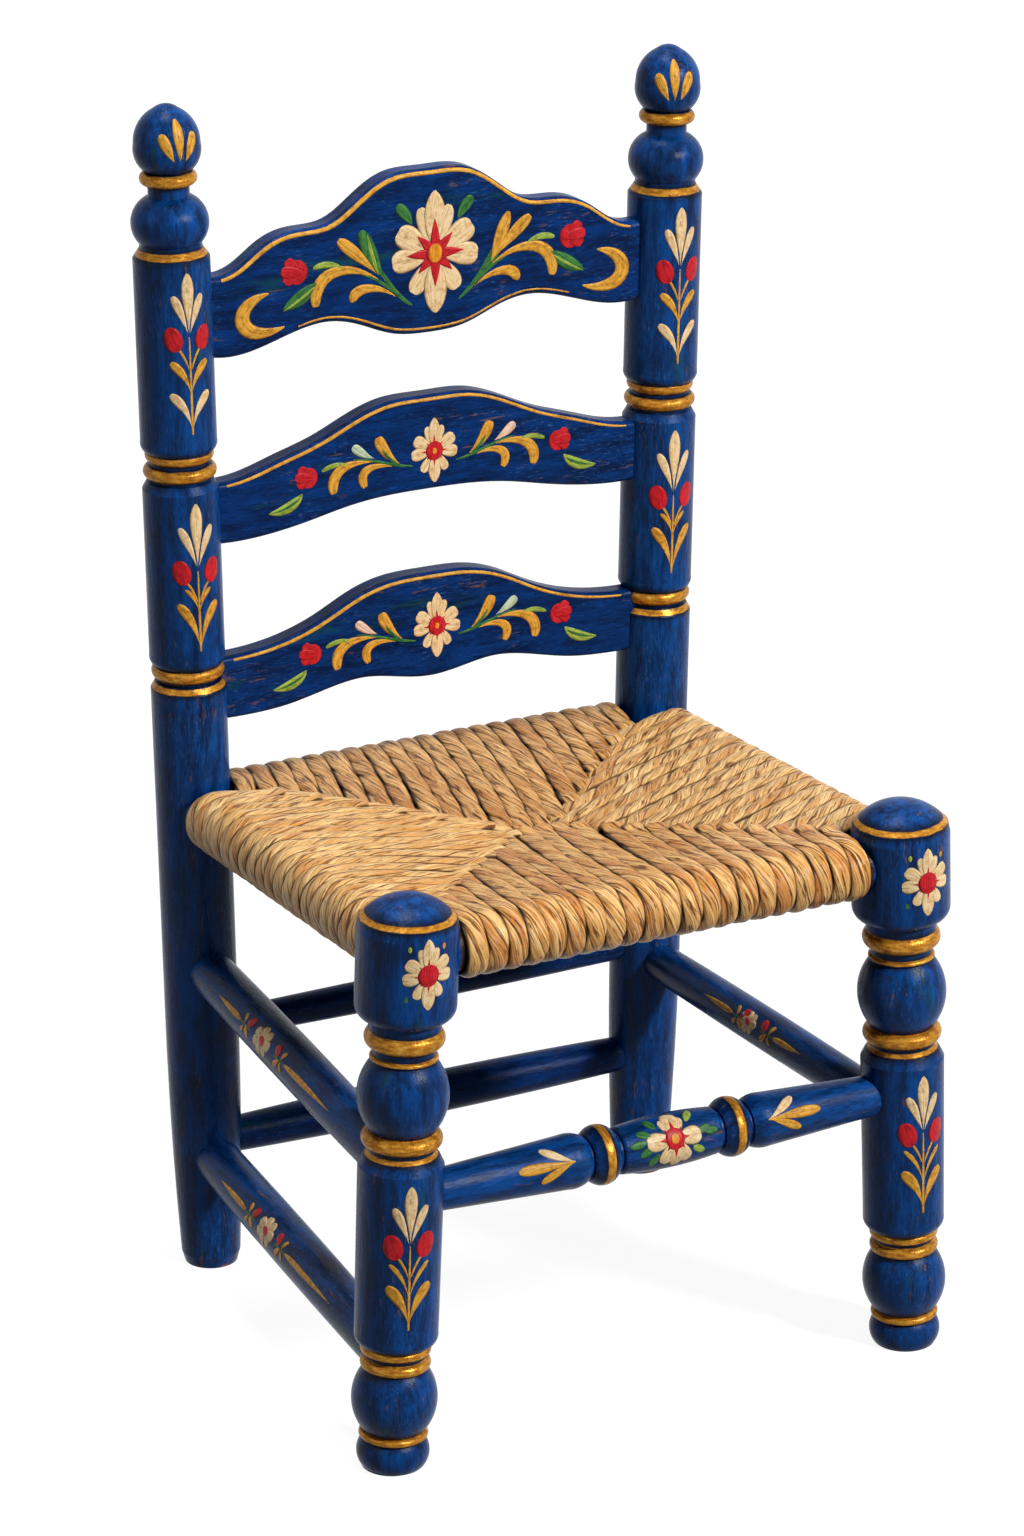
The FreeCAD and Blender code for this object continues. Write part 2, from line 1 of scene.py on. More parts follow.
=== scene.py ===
"""Painted child's chair with a rush seat: its finishes, painted flowers, woven seat, lights and camera.

Lengths are in metres, apart from the painted patterns, which are written in millimetres.
"""

import math
import random

import bmesh
import bpy
import numpy as np
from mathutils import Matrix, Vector
from mathutils.bvhtree import BVHTree


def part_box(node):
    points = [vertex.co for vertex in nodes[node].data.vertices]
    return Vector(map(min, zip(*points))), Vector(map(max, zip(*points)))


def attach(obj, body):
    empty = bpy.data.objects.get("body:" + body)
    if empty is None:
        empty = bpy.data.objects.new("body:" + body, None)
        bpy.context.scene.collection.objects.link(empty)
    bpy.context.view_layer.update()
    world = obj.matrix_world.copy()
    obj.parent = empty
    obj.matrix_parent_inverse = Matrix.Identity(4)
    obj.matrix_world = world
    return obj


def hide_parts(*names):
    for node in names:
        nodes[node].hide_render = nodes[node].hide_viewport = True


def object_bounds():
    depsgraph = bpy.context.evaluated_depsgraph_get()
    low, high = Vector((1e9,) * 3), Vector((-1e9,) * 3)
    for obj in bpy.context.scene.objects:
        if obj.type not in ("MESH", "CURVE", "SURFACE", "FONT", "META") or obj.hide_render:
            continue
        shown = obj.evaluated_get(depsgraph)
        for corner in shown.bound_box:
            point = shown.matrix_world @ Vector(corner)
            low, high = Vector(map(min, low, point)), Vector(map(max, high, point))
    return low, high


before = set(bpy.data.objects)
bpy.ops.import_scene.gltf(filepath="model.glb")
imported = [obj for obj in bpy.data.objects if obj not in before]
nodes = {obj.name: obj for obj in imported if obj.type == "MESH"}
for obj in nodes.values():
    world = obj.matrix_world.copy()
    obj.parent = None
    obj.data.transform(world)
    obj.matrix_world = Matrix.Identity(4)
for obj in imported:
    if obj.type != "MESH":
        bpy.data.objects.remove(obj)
cad_low, cad_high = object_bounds()

MM = 0.001
UP = Vector((0, 0, 1))
FORWARD = Vector((0, -1, 0))


# Places read from the frame
def end_point(node, axis, high):
    """The middle of the outline of a turned piece at its low or high end."""
    reach = 1.5 * MM
    points = np.array([v.co for v in nodes[node].data.vertices])
    level = points[:, axis]
    near = level > level.max() - reach if high else level < level.min() + reach
    found = points[near]
    return Vector((found.min(0) + found.max(0)) / 2)


def axis_line(node, axis):
    """The start of a turned piece's axis, its direction and its length."""
    start = end_point(node, axis, False)
    end = end_point(node, axis, True)
    return start, (end - start).normalized(), (end - start).length


def linear(code):
    """A colour written as #rrggbb, as the shader takes it."""
    parts = [int(code[i:i + 2], 16) / 255 for i in (1, 3, 5)]
    return [p / 12.92 if p < 0.04045 else ((p + 0.055) / 1.055) ** 2.4 for p in parts] + [1.0]


# Materials
class Tree:
    """A node tree, with short calls for the nodes used here."""

    def __init__(self, tree):
        self.tree = tree

    def feed(self, socket, value):
        if isinstance(value, bpy.types.NodeSocket):
            self.tree.links.new(value, socket)
        else:
            socket.default_value = value

    def node(self, kind, **settings):
        made = self.tree.nodes.new(kind)
        for key, value in settings.items():
            setattr(made, key, value)
        return made

    def math(self, operation, *values):
        made = self.node("ShaderNodeMath", operation=operation)
        for socket, value in zip(made.inputs, values):
            self.feed(socket, value)
        return made.outputs[0]

    def times(self, first, second):
        return self.math("MULTIPLY", first, second)

    def plus(self, first, second):
        return self.math("ADD", first, second)

    def vector(self, operation, *values):
        made = self.node("ShaderNodeVectorMath", operation=operation)
        for socket, value in zip(made.inputs, values):
            self.feed(socket, value)
        return made.outputs["Value" if operation in ("DOT_PRODUCT", "LENGTH") else "Vector"]

    def place(self):
        return self.node("ShaderNodeTexCoord").outputs["Object"]

    def attribute(self, name, output="Vector"):
        return self.node("ShaderNodeAttribute", attribute_name=name).outputs[output]

    def noise(self, place, scale, detail=3.0, roughness=0.55):
        made = self.node("ShaderNodeTexNoise")
        self.feed(made.inputs["Vector"], place)
        made.inputs["Scale"].default_value = scale
        made.inputs["Detail"].default_value = detail
        made.inputs["Roughness"].default_value = roughness
        return made.outputs[0]

    def span(self, value, low, high, bottom, top, kind="LINEAR"):
        """A value between low and high, spread from bottom to top."""
        made = self.node("ShaderNodeMapRange", interpolation_type=kind)
        for name, given in (("Value", value), ("From Min", low), ("From Max", high),
                            ("To Min", bottom), ("To Max", top)):
            self.feed(made.inputs[name], given)
        return made.outputs[0]

    def rise(self, value, low, high, top=1.0):
        """0 up to low, and a smooth rise to top at high; high may be the lower of the two."""
        return self.span(value, low, high, 0.0, top, "SMOOTHSTEP")

    def white_to_camera(self, base, white):
        """A strength of white for the camera and clear or mirror reflections, and of base for other light."""
        path = self.node("ShaderNodeLightPath")
        seen = path.outputs["Is Camera Ray"]
        for name in ("Is Glossy Ray", "Is Transmission Ray"):
            seen = self.math("MAXIMUM", seen, path.outputs[name])
        return self.span(seen, 0.0, 1.0, base, white)

    def mix(self, share, first, second):
        made = self.node("ShaderNodeMix", data_type="RGBA")
        self.feed(made.inputs[0], share)
        self.feed(made.inputs[6], linear(first) if isinstance(first, str) else first)
        self.feed(made.inputs[7], linear(second) if isinstance(second, str) else second)
        return made.outputs[2]

    def lay(self, under, over, value, low, high, top=1.0):
        """One colour laid over another where a value rises from low to high."""
        return self.mix(self.rise(value, low, high, top), under, over)

    def coats(self, colour, *rows):
        """A colour with others laid over it in turn. Each row is what lay takes after its first colour."""
        for row in rows:
            colour = self.lay(colour, *row)
        return colour


class Shader(Tree):
    """A material with its node tree."""

    def __init__(self, name, roughness=0.5, specular=0.5):
        self.material = bpy.data.materials.new(name)
        self.material.use_nodes = True
        super().__init__(self.material.node_tree)
        self.surface = self.tree.nodes["Principled BSDF"]
        self.surface.inputs["Roughness"].default_value = roughness
        self.surface.inputs["Specular IOR Level"].default_value = specular

    def bump(self, height, distance, strength=1.0):
        made = self.node("ShaderNodeBump")
        made.inputs["Strength"].default_value = strength
        made.inputs["Distance"].default_value = distance
        self.feed(made.inputs["Height"], height)
        self.feed(self.surface.inputs["Normal"], made.outputs[0])

    def output(self, colour=None, roughness=None, metallic=None):
        for name, value in (("Base Color", colour), ("Roughness", roughness), ("Metallic", metallic)):
            if value is not None:
                self.feed(self.surface.inputs[name], value)
        return self.material


brush_stretch = 0.16
paint_relief = 0.7 * MM
rush_relief = 1.0 * MM

# Gold bands, in millimetres: how far they sit above their heights, their soft edge and the reach of the
# painted shade in the groove beside them
gold_wobble = 0.7 * MM
band_shift = 0.35
band_outside = 0.3
band_inside = 0.15
groove_shade_reach = 4.2


def brushed_blue(shader, place, along, deep="#032048", bright="#0a4992", patch_share=0.5):
    """Deep blue laid on with a brush along one axis: its colour and the height of its bristle marks."""
    stretch = [1.0, 1.0, 1.0]
    stretch[along] = brush_stretch
    strokes = shader.vector("MULTIPLY", place, stretch)
    broad = shader.noise(strokes, 210, 5, 0.65)
    fine = shader.noise(strokes, 1000, 4, 0.7)
    patches = shader.noise(place, 42, 4, 0.6)
    smudge = shader.noise(shader.vector("ADD", strokes, (3.1, 1.7, 0.4)), 75, 4, 0.6)
    colour = shader.coats(deep, (bright, broad, 0.3, 0.7), ("#041538", patches, 0.5, 0.68, patch_share),
                          ("#1f60b4", fine, 0.55, 0.75, 0.4), ("#020a20", fine, 0.46, 0.3, 0.5),
                          ("#14464a", smudge, 0.6, 0.72, 0.6))
    where = shader.rise(shader.noise(place, 30, 2), 0.5, 0.6)
    speck = shader.noise(shader.vector("ADD", strokes, (0.3, 5.7, 2.4)), 330, 5, 0.7)
    scratch = shader.noise(shader.vector("ADD", strokes, (7.3, 2.2, 1.1)), 1300, 3, 0.6)
    for mark, share, tint in ((speck, 0.5, "#80592a"), (scratch, 0.3, "#4f7ab8")):
        bare = shader.times(shader.rise(mark, 0.6, 0.66, share), where)
        colour = shader.mix(bare, colour, tint)
    colour = shader.lay(colour, "#01060f", scratch, 0.4, 0.33, 0.65)
    height = shader.plus(shader.times(broad, 0.75), shader.times(fine, 0.25))
    return colour, height


def finish_blue(shader, colour, height, specular=0.085):
    shader.surface.inputs["Specular IOR Level"].default_value = specular
    shader.bump(height, paint_relief, 0.7)
    gloss = shader.rise(height, 0.3, 0.7, 0.15)
    return shader.output(colour, shader.plus(gloss, 0.2))


def blue_paint(name, along, deep, bright, specular):
    shader = Shader(name)
    colour, height = brushed_blue(shader, shader.place(), along, deep, bright, 0.35)
    return finish_blue(shader, colour, height, specular)


def banded_paint(node, axis, bands, worn_foot=False):
    """Blue paint on a turned piece, with gold round it at the heights in bands, measured from its low end,
    and painted shade in the grooves beside the gold.
    """
    start, direction, _ = axis_line(node, axis)
    shader = Shader(node + "_paint")
    place = shader.place()
    colour, height = brushed_blue(shader, place, axis)
    from_start = shader.vector("SUBTRACT", place, start)
    level = shader.vector("DOT_PRODUCT", from_start, direction)
    wobble = shader.times(shader.noise(place, 150, 2), gold_wobble)
    level = shader.plus(level, wobble)
    gold = 0.0
    crease_shade = 0.0
    for middle, half in bands:
        off = shader.math("ABSOLUTE", shader.math("SUBTRACT", level, (middle + band_shift) * MM))
        ring = shader.rise(off, (half + band_outside) * MM, (half - band_inside) * MM)
        groove = shader.rise(off, (half + groove_shade_reach) * MM, half * MM, 0.9)
        gold = shader.math("MAXIMUM", gold, ring)
        crease_shade = shader.math("MAXIMUM", crease_shade, groove)
    # Painted shade: the grooves beside the gold bands darkened to near-black blue.
    colour = shader.mix(crease_shade, colour, "#040918")
    around = [0.3, 0.3, 0.3]
    around[axis] = 1.0
    streak = shader.noise(shader.vector("MULTIPLY", place, around), 700, 4, 0.65)
    mottle = shader.noise(place, 420, 4, 0.65)
    worn = shader.rise(shader.noise(place, 300, 4, 0.7), 0.64, 0.72, 0.8)
    gold = shader.times(gold, shader.math("SUBTRACT", 1.0, worn))
    leaf = shader.coats("#9a6118", ("#c98c2c", streak, 0.38, 0.6), ("#7a4a16", mottle, 0.55, 0.7, 0.45),
                        ("#ecc878", streak, 0.58, 0.72, 0.5))
    colour = shader.mix(gold, colour, leaf)
    if worn_foot:
        rim = shader.rise(level, 2.6 * MM, 0.8 * MM, 0.8)
        scallop = shader.rise(shader.noise(place, 190, 2), 0.45, 0.58)
        colour = shader.mix(shader.times(rim, scallop), colour, "#9a6a34")
    finish_blue(shader, colour, height)
    return shader.output(metallic=shader.times(gold, 0.3))


def rail_paint(name, along, reach):
    """Blue paint at the rail's ends and bare wood under the rush. reach is half the covered length."""
    shader = Shader(name)
    place = shader.place()
    colour, height = brushed_blue(shader, place, along)
    pick = shader.node("ShaderNodeSeparateXYZ")
    shader.feed(pick.inputs[0], place)
    middle = 0.0 if along == 0 else (cad_low.y + cad_high.y) / 2
    off = shader.math("ABSOLUTE", shader.math("SUBTRACT", pick.outputs[along], middle))
    colour = shader.lay(colour, "#2e1a0a", off, reach, reach - 2 * MM)
    return finish_blue(shader, colour, height)


def peg_wood(name):
    shader = Shader(name, 0.6)
    place = shader.place()
    rings = shader.noise(place, 900, 3)
    colour = shader.mix(shader.rise(rings, 0.35, 0.65), "#5d3d20", "#96693a")
    shader.bump(rings, 0.15 * MM)
    return shader.output(colour)


def stroke_paint(name, dark, middle, light, vein="#6b4a22", vein_share=0.6):
    """Paint of a brush stroke, streaked along the stroke, darker at its rim and along its middle, and worn
    through to the blue in places."""
    shader = Shader(name, 0.38, 0.15)
    across = shader.attribute("stroke")
    rim = shader.attribute("rim", "Fac")
    streak = shader.noise(shader.vector("MULTIPLY", across, (1.0, 0.1, 1.0)), 1300, 3, 0.65)
    broad = shader.noise(across, 330, 3)
    colour = shader.coats(middle, (light, streak, 0.36, 0.62), (dark, broad, 0.48, 0.68, 0.6))
    hair = shader.rise(shader.noise(shader.vector("MULTIPLY", across, (1.0, 0.05, 1.0)), 1900, 2), 0.62, 0.7)
    gate = shader.rise(shader.noise(across, 420, 2), 0.42, 0.54, vein_share)
    colour = shader.mix(shader.times(hair, gate), colour, vein)
    along_middle = shader.rise(shader.noise(across, 140, 2), 0.4, 0.6, 0.55 * vein_share)
    middle_line = shader.times(shader.rise(rim, 0.16, 0.0), along_middle)
    colour = shader.mix(middle_line, colour, vein)
    uneven = shader.plus(rim, shader.times(streak, 0.3))
    colour = shader.lay(colour, vein, uneven, 1.0, 1.16, 0.75)
    worn = shader.rise(shader.noise(shader.place(), 900, 4, 0.7), 0.66, 0.71, 0.8)
    colour = shader.mix(worn, colour, "#12274f")
    shader.bump(streak, 0.15 * MM, 0.7)
    return shader.output(colour)


def rush(name, deep, dark, middle, light, warm):
    """Twisted rush: fibres along each ply, with painted shade in the creases, in the gaps between strands and
    towards each strand's ends.
    """
    shader = Shader(name, 0.3, 0.17)
    fibre = shader.attribute("fibre")
    crease_shade = shader.attribute("crease_shade", "Fac")
    shade = shader.attribute("shade", "Fac")
    long_fibre = shader.vector("MULTIPLY", fibre, (1.0, 1.0, 0.04))
    short_fibre = shader.vector("MULTIPLY", fibre, (1.0, 1.0, 0.13))
    broad = shader.noise(long_fibre, 560, 3, 0.6)
    fine = shader.noise(long_fibre, 1500, 3, 0.7)
    hair = shader.noise(shader.vector("MULTIPLY", fibre, (1.0, 1.0, 0.03)), 2600, 2)
    marks = shader.noise(short_fibre, 600, 3, 0.6)
    ply_tone = shader.noise(shader.vector("MULTIPLY", fibre, (1.0, 1.0, 0.35)), 40, 2)
    # Painted shade in the ply creases, broken up by the short marks.
    uneven = shader.plus(crease_shade, shader.times(marks, 0.7))
    colour = shader.coats(middle, (light, broad, 0.38, 0.62), (warm, ply_tone, 0.48, 0.62, 0.6),
                          (light, ply_tone, 0.46, 0.34, 0.4), ("#fde3ae", fine, 0.55, 0.68, 0.7),
                          (dark, fine, 0.48, 0.34, 0.85), (deep, hair, 0.43, 0.32, 0.8),
                          (deep, marks, 0.55, 0.62, 0.9), (deep, uneven, 1.15, 1.36, 0.9),
                          ("#341b08", shade, 0.8, 0.1, 0.9))
    height = shader.plus(shader.times(broad, 0.5), shader.times(fine, 0.35))
    height = shader.plus(height, shader.times(hair, 0.15))
    shader.bump(height, rush_relief, 1.0)
    return shader.output(colour)


# Dark brown straw for the pads: straw's own colour, made darker as painted shade where it shows in the gaps
# between strands.
def stuffing_straw(name):
    shader = Shader(name, 0.85, 0.2)
    place = shader.place()
    strands = shader.noise(shader.vector("MULTIPLY", place, (1.0, 0.2, 1.0)), 700, 4)
    colour = shader.mix(shader.rise(strands, 0.35, 0.65), "#2f1c0c", "#70491f")
    shader.bump(strands, 0.5 * MM)
    return shader.output(colour)


# Gold rings, as (middle, half height) in millimetres from the foot
front_leg_bands = ((17.0, 1.7), (55.5, 2.6), (63.0, 1.7), (166.9, 0.9), (174.8, 3.5), (217.1, 0.9),
                   (226.9, 3.9), (289.4, 1.0))
rear_post_bands = ((327.5, 1.3), (334.6, 3.0), (441.8, 3.0), (449.6, 2.0), (556.2, 1.5), (593.5, 2.9))
front_stretcher_bead_half = 2.1
front_stretcher_bead_offset = 37.0
front_pattern_shift = 4.0

bare_end = 14.0 * MM

# Radii that the painted patterns are laid out on, in millimetres
post_radius = 19.5
finial_radius = 16.5
leg_radius = 21.0
head_radius = 24.9
side_stretcher_radius = 12.3
right_stretcher_radius = 10.7
front_stretcher_radius = 13.0


def paint_frame():
    """Gives every CAD node its finish."""
    finishes = {"slat_pegs": peg_wood("peg_wood")}
    for side in ("left", "right"):
        for node, bands, worn_foot in (("front_" + side + "_leg", front_leg_bands, False),
                                       ("rear_" + side + "_post", rear_post_bands, True)):
            finishes[node] = banded_paint(node, 2, bands, worn_foot)
    _, _, length = axis_line("front_stretcher", 0)
    middle = length / MM / 2 + front_pattern_shift
    beads = [(middle + side * front_stretcher_bead_offset, front_stretcher_bead_half) for side in (-1, 1)]
    finishes["front_stretcher"] = banded_paint("front_stretcher", 0, beads)
    across = blue_paint("blue_paint_across", 0, "#031a40", "#063475", 0.05)
    along = blue_paint("blue_paint_front_to_back", 1, "#031f47", "#094488", 0.085)
    for node in ("top_slat", "middle_slat", "lower_slat", "rear_upper_stretcher", "rear_lower_stretcher"):
        finishes[node] = across
    for node in ("left_upper_stretcher", "left_lower_stretcher", "right_side_stretcher"):
        finishes[node] = along
    for name, axis in (("front", 0), ("rear", 0), ("left", 1), ("right", 1)):
        low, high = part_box(name + "_seat_rail")
        reach = (high[axis] - low[axis]) / 2 - bare_end
        finishes[name + "_seat_rail"] = rail_paint(name + "_rail_paint", axis, reach)
    for node, material in finishes.items():
        nodes[node].data.materials[0] = material


# Brush strokes: thin closed shells laid on the wood
stroke_lift = 0.07 * MM
stroke_layer = 0.045 * MM
stroke_crown = 0.05 * MM
stroke_root = 0.25 * MM
ray_reach = 0.08

paints = {
    "cream": stroke_paint("cream_paint", "#c0925a", "#e0ba84", "#f2d8aa", "#6b4a26", 0.7),
    "gold": stroke_paint("gold_leaf_paint", "#95601a", "#c98925", "#e6ae46", "#4f2f0e", 0.85),
    "red": stroke_paint("red_paint", "#8a0c14", "#b5141e", "#cf2630", "#5e070d", 0.5),
    "green": stroke_paint("green_paint", "#123c1e", "#215a2d", "#44803c", "#0d2815", 0.6),
    "lime": stroke_paint("light_green_paint", "#46642a", "#7a9433", "#a9bb52", "#2c4719", 0.6),
    "mint": stroke_paint("pale_green_paint", "#7d9a82", "#a3bd9e", "#cfdcbf"),
    "blush": stroke_paint("pale_red_paint", "#c08a76", "#dfb299", "#f0d3bd"),
    "orange": stroke_paint("orange_paint", "#b9661a", "#dc861c", "#eda838", "#7d3f10", 0.6),
}
paint_order = list(paints)


class Painting:
    """Brush strokes on one CAD node. place turns (across, up) into a ray that lands on the wood."""

    def __init__(self, node, place):
        mesh = nodes[node].data
        self.name = node + "_painting"
        self.place = place
        self.tree = BVHTree.FromPolygons([v.co for v in mesh.vertices], [p.vertices for p in mesh.polygons])
        self.points = []
        self.faces = []
        self.marks = []
        self.rim = []
        self.colours = []
        self.flat = []
        self.count = 0

    def land(self, across, up, lift):
        origin, direction = self.place(across, up)
        hit = self.tree.ray_cast(origin, direction)[0]
        if hit is None:
            raise ValueError(f"{self.name}: nothing to paint on at {across:.1f}, {up:.1f}")
        return hit - direction * lift

    def stroke(self, colour, points, width, base=1.0, tip=0.5, layer=0, rows=15, columns=5):
        """A stroke along a Bezier curve or a function of the share along it. Its width rises from the
        base and falls to the tip: the smaller base or tip, the blunter that end."""
        curve = points if callable(points) else lambda share: bezier(points, share)
        widest = base / (base + tip)
        peak = widest ** base * (1 - widest) ** tip
        first = len(self.points)
        length = 0.0
        before = curve(0.0)
        self.count += 1
        for row in range(rows):
            share = 0.5 - 0.49 * math.cos(math.pi * row / (rows - 1))
            x, z = curve(share)
            ahead = curve(min(share + 0.01, 1.0))
            behind = curve(max(share - 0.01, 0.0))
            run = math.hypot(ahead[0] - behind[0], ahead[1] - behind[1])
            normal = (-(ahead[1] - behind[1]) / run, (ahead[0] - behind[0]) / run)
            half = width / 2 * share ** base * (1 - share) ** tip / peak
            length += math.hypot(x - before[0], z - before[1])
            before = (x, z)
            for top in (True, False):
                for column in range(columns):
                    side = 2 * column / (columns - 1) - 1
                    lift = stroke_lift + layer * stroke_layer + stroke_crown * (1 - side * side)
                    self.points.append(self.land(x + normal[0] * half * side, z + normal[1] * half * side,
                                                 lift if top else -stroke_root))
                    self.marks.append((side * half * MM, length * MM, self.count * 0.137))
                    self.rim.append(abs(side))
        wide = 2 * columns
        for row in range(rows - 1):
            low = first + row * wide
            high = low + wide
            for column in range(columns - 1):
                self.face(colour, False, low + column, low + column + 1, high + column + 1, high + column)
                under = columns + column
                self.face(colour, True, low + under + 1, low + under, high + under, high + under + 1)
            for edge in (0, columns - 1):
                self.face(colour, True, low + edge, high + edge, high + edge + columns, low + edge + columns)
        for row in (0, rows - 1):
            end = first + row * wide
            for column in range(columns - 1):
                self.face(colour, True, end + column, end + column + 1, end + column + 1 + columns,
                          end + column + columns)

    def face(self, colour, flat, *corners):
        self.faces.append(corners)
        self.colours.append(paint_order.index(colour))
        self.flat.append(flat)

    def ray(self, colour, x, z, degrees, near, far, width, base, tip, layer, squeeze=1.0, **steps):
        """A straight stroke from near to far of a place, in a direction given in degrees from upright."""
        ends = [turned_point(x, z, degrees, reach, squeeze) for reach in (near, far)]
        self.stroke(colour, ends, width, base, tip, layer, **steps)

    def dot(self, colour, x, z, wide, high, layer=0):
        """A round or oval dab."""
        self.stroke(colour, [(x, z - high), (x, z + high)], 2 * wide, 0.5, 0.5, layer, rows=13, columns=7)

    def finish(self):
        mesh = bpy.data.meshes.new(self.name)
        mesh.from_pydata([tuple(p) for p in self.points], [], self.faces)
        marks = mesh.attributes.new("stroke", "FLOAT_VECTOR", "POINT")
        marks.data.foreach_set("vector", np.array(self.marks, np.float32).ravel())
        rim = mesh.attributes.new("rim", "FLOAT", "POINT")
        rim.data.foreach_set("value", np.array(self.rim, np.float32))
        for name in paint_order:
            mesh.materials.append(paints[name])
        mesh.polygons.foreach_set("material_index", self.colours)
        face_outwards(mesh)
        mesh.polygons.foreach_set("use_smooth", [not flat for flat in self.flat])
        add_piece(mesh, self.name)


def bezier(points, share):
    while len(points) > 1:
        points = [((1 - share) * a[0] + share * b[0], (1 - share) * a[1] + share * b[1])
                  for a, b in zip(points, points[1:])]
    return points[0]


def flat_place(node):
    """Rays onto the front of a flat board: across is x and up is z, both in millimetres."""
    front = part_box(node)[0].y - ray_reach

    def place(across, up):
        return Vector((across * MM, front, up * MM)), -FORWARD
    return place


def upright_place(node, radius, turn=0.0):
    """Rays onto a leg or post: across is the length of arc from the front, and up is the height."""
    foot, direction, _ = axis_line(node, 2)

    def place(across, up):
        angle = across / radius + math.radians(turn)
        outward = Vector((math.sin(angle), -math.cos(angle), 0))
        on_axis = foot + direction * (up * MM - foot.z) / direction.z
        return on_axis + outward * ray_reach, -outward
    return place


def bar_place(node, axis, radius, facing):
    """Rays onto a stretcher: across is the length along it from its middle, and up is the arc round it."""
    start, direction, length = axis_line(node, axis)
    middle = start + direction * length / 2
    outward = (facing - direction * facing.dot(direction)).normalized()
    above = outward.cross(direction)
    above = above if above.z > 0 else -above

    def place(across, up):
        angle = up / radius
        aim = outward * math.cos(angle) + above * math.sin(angle)
        return middle + direction * across * MM + aim * ray_reach, -aim
    return place


# Petals of a cream flower: degrees from upright, and its reach, width and tip
flower_petals = ((0, 1.0, 0.38, 0.75), (19, 0.79, 0.27, 0.5), (-19, 0.79, 0.27, 0.5),
                 (58, 0.76, 0.40, 0.36), (-58, 0.76, 0.40, 0.36), (97, 0.75, 0.38, 0.36),
                 (-97, 0.75, 0.38, 0.36), (147, 0.72, 0.31, 0.4), (-147, 0.72, 0.31, 0.4),
                 (180, 0.96, 0.40, 0.7))
# Rays of its red star: degrees from upright, and reach
star_rays = ((0, 0.56), (180, 0.54), (90, 0.5), (-90, 0.5),
             (45, 0.43), (-45, 0.43), (135, 0.42), (-135, 0.42))


def turned_point(x, z, degrees, reach, squeeze=1.0):
    angle = math.radians(degrees)
    return (x + math.sin(angle) * reach * squeeze, z + math.cos(angle) * reach)


def flower(art, x, z, size, heart, squeeze=1.0, tilt=0.0):
    """A cream flower of ten petals. Its red heart is a star with an orange middle, or a disc with short rays,
    with or without a dot."""
    for number, (degrees, reach, wide, tip) in enumerate(flower_petals):
        layer = 1 + (number in (0, 9)) + (number % 2)
        art.ray("cream", x, z, degrees + tilt, 0.08 * size, reach * size, wide * size, 0.85, tip, layer,
                squeeze, rows=17, columns=7)
    reach_share = 1.0 if heart == "star" else 0.86
    disc = {"star": 0.17, "disc": 0.29, "plain": 0.31}[heart]
    for degrees, reach in star_rays:
        art.ray("red", x, z, degrees + tilt, 0.02 * size, reach * reach_share * size,
                (0.17 if heart == "star" else 0.1) * size, 0.3, 1.0, 5, squeeze)
    art.dot("red", x, z, disc * size * 0.95, disc * size, 6)
    if heart != "plain":
        dot = 0.12 if heart == "star" else 0.07
        art.dot("orange", x, z, dot * size, 1.25 * dot * size, 8)


def mirrored(x, side, points, z=0.0):
    return [(x + side * across, z + up) for across, up in points]


def draw_strokes(art, x, z, side, strokes, tint=None):
    """Strokes from rows of colour, width, base, tip, layer, rows and points; no colour means the tint."""
    for colour, width, base, tip, layer, rows, *points in strokes:
        art.stroke(colour or tint, mirrored(x, side, points, z), width, base, tip, layer, rows)


def sprig(art, x, stem, lily, buds, leaves):
    """An upright sprig: a cream lily on a gold stem, two red buds and pairs of leaves."""
    art.stroke("gold", [(x, stem[0]), (x, stem[1])], 1.3, 0.12, 0.3, 1)
    lily_base, lily_tip, spread = lily
    height = lily_tip - lily_base
    for side in (-1, 1):
        petal = [(0.5, lily_base + 0.5), (3.4, lily_base + 0.35 * height),
                 (spread, lily_base + 0.64 * height)]
        art.stroke("cream", mirrored(x, side, petal), 4.8, 1.5, 0.5, 1, rows=19)
    art.stroke("cream", [(x, lily_base - 0.5), (x, lily_tip)], 6.8, 2.0, 0.8, 2, rows=21)
    across, level, wide, high = buds
    for side in (-1, 1):
        art.stroke("red", mirrored(x, side, [(across - 2.4, level - high), (across + 1.0, level + high)]),
                   2 * wide, 0.46, 0.5, 2, columns=7)
        art.stroke("gold", mirrored(x, side, [(across - 3.4, level - high + 1.0), (2.2, level - high - 4.0),
                                              (0.8, level - high - 9.5)]), 1.3, 0.15, 0.5, 1)
    for colour, root, tip_across, tip_up, wide in leaves:
        for side in (-1, 1):
            bend = (0.22 * tip_across, root + 0.66 * (tip_up - root))
            leaf = mirrored(x, side, [(0.2, root), bend, (tip_across, tip_up)])
            art.stroke(colour, leaf, wide, 1.7, 0.5, 2, rows=19)


def tulip(art, x, z, size, lean):
    """A round red bud with a scalloped edge facing away from the middle of the board; lean is -1 or +1."""
    art.dot("red", x - lean * 0.04 * size, z, 0.42 * size, 0.44 * size, 2)
    for degrees, reach, layer in ((36, 0.6, 3), (128, 0.56, 3), (82, 0.58, 4)):
        end = turned_point(x, z, lean * degrees, reach * size)
        start = turned_point(x, z, lean * (degrees + 180), 0.3 * size)
        art.stroke("red", [start, end], 0.46 * size, 0.7, 0.34, layer, columns=7)


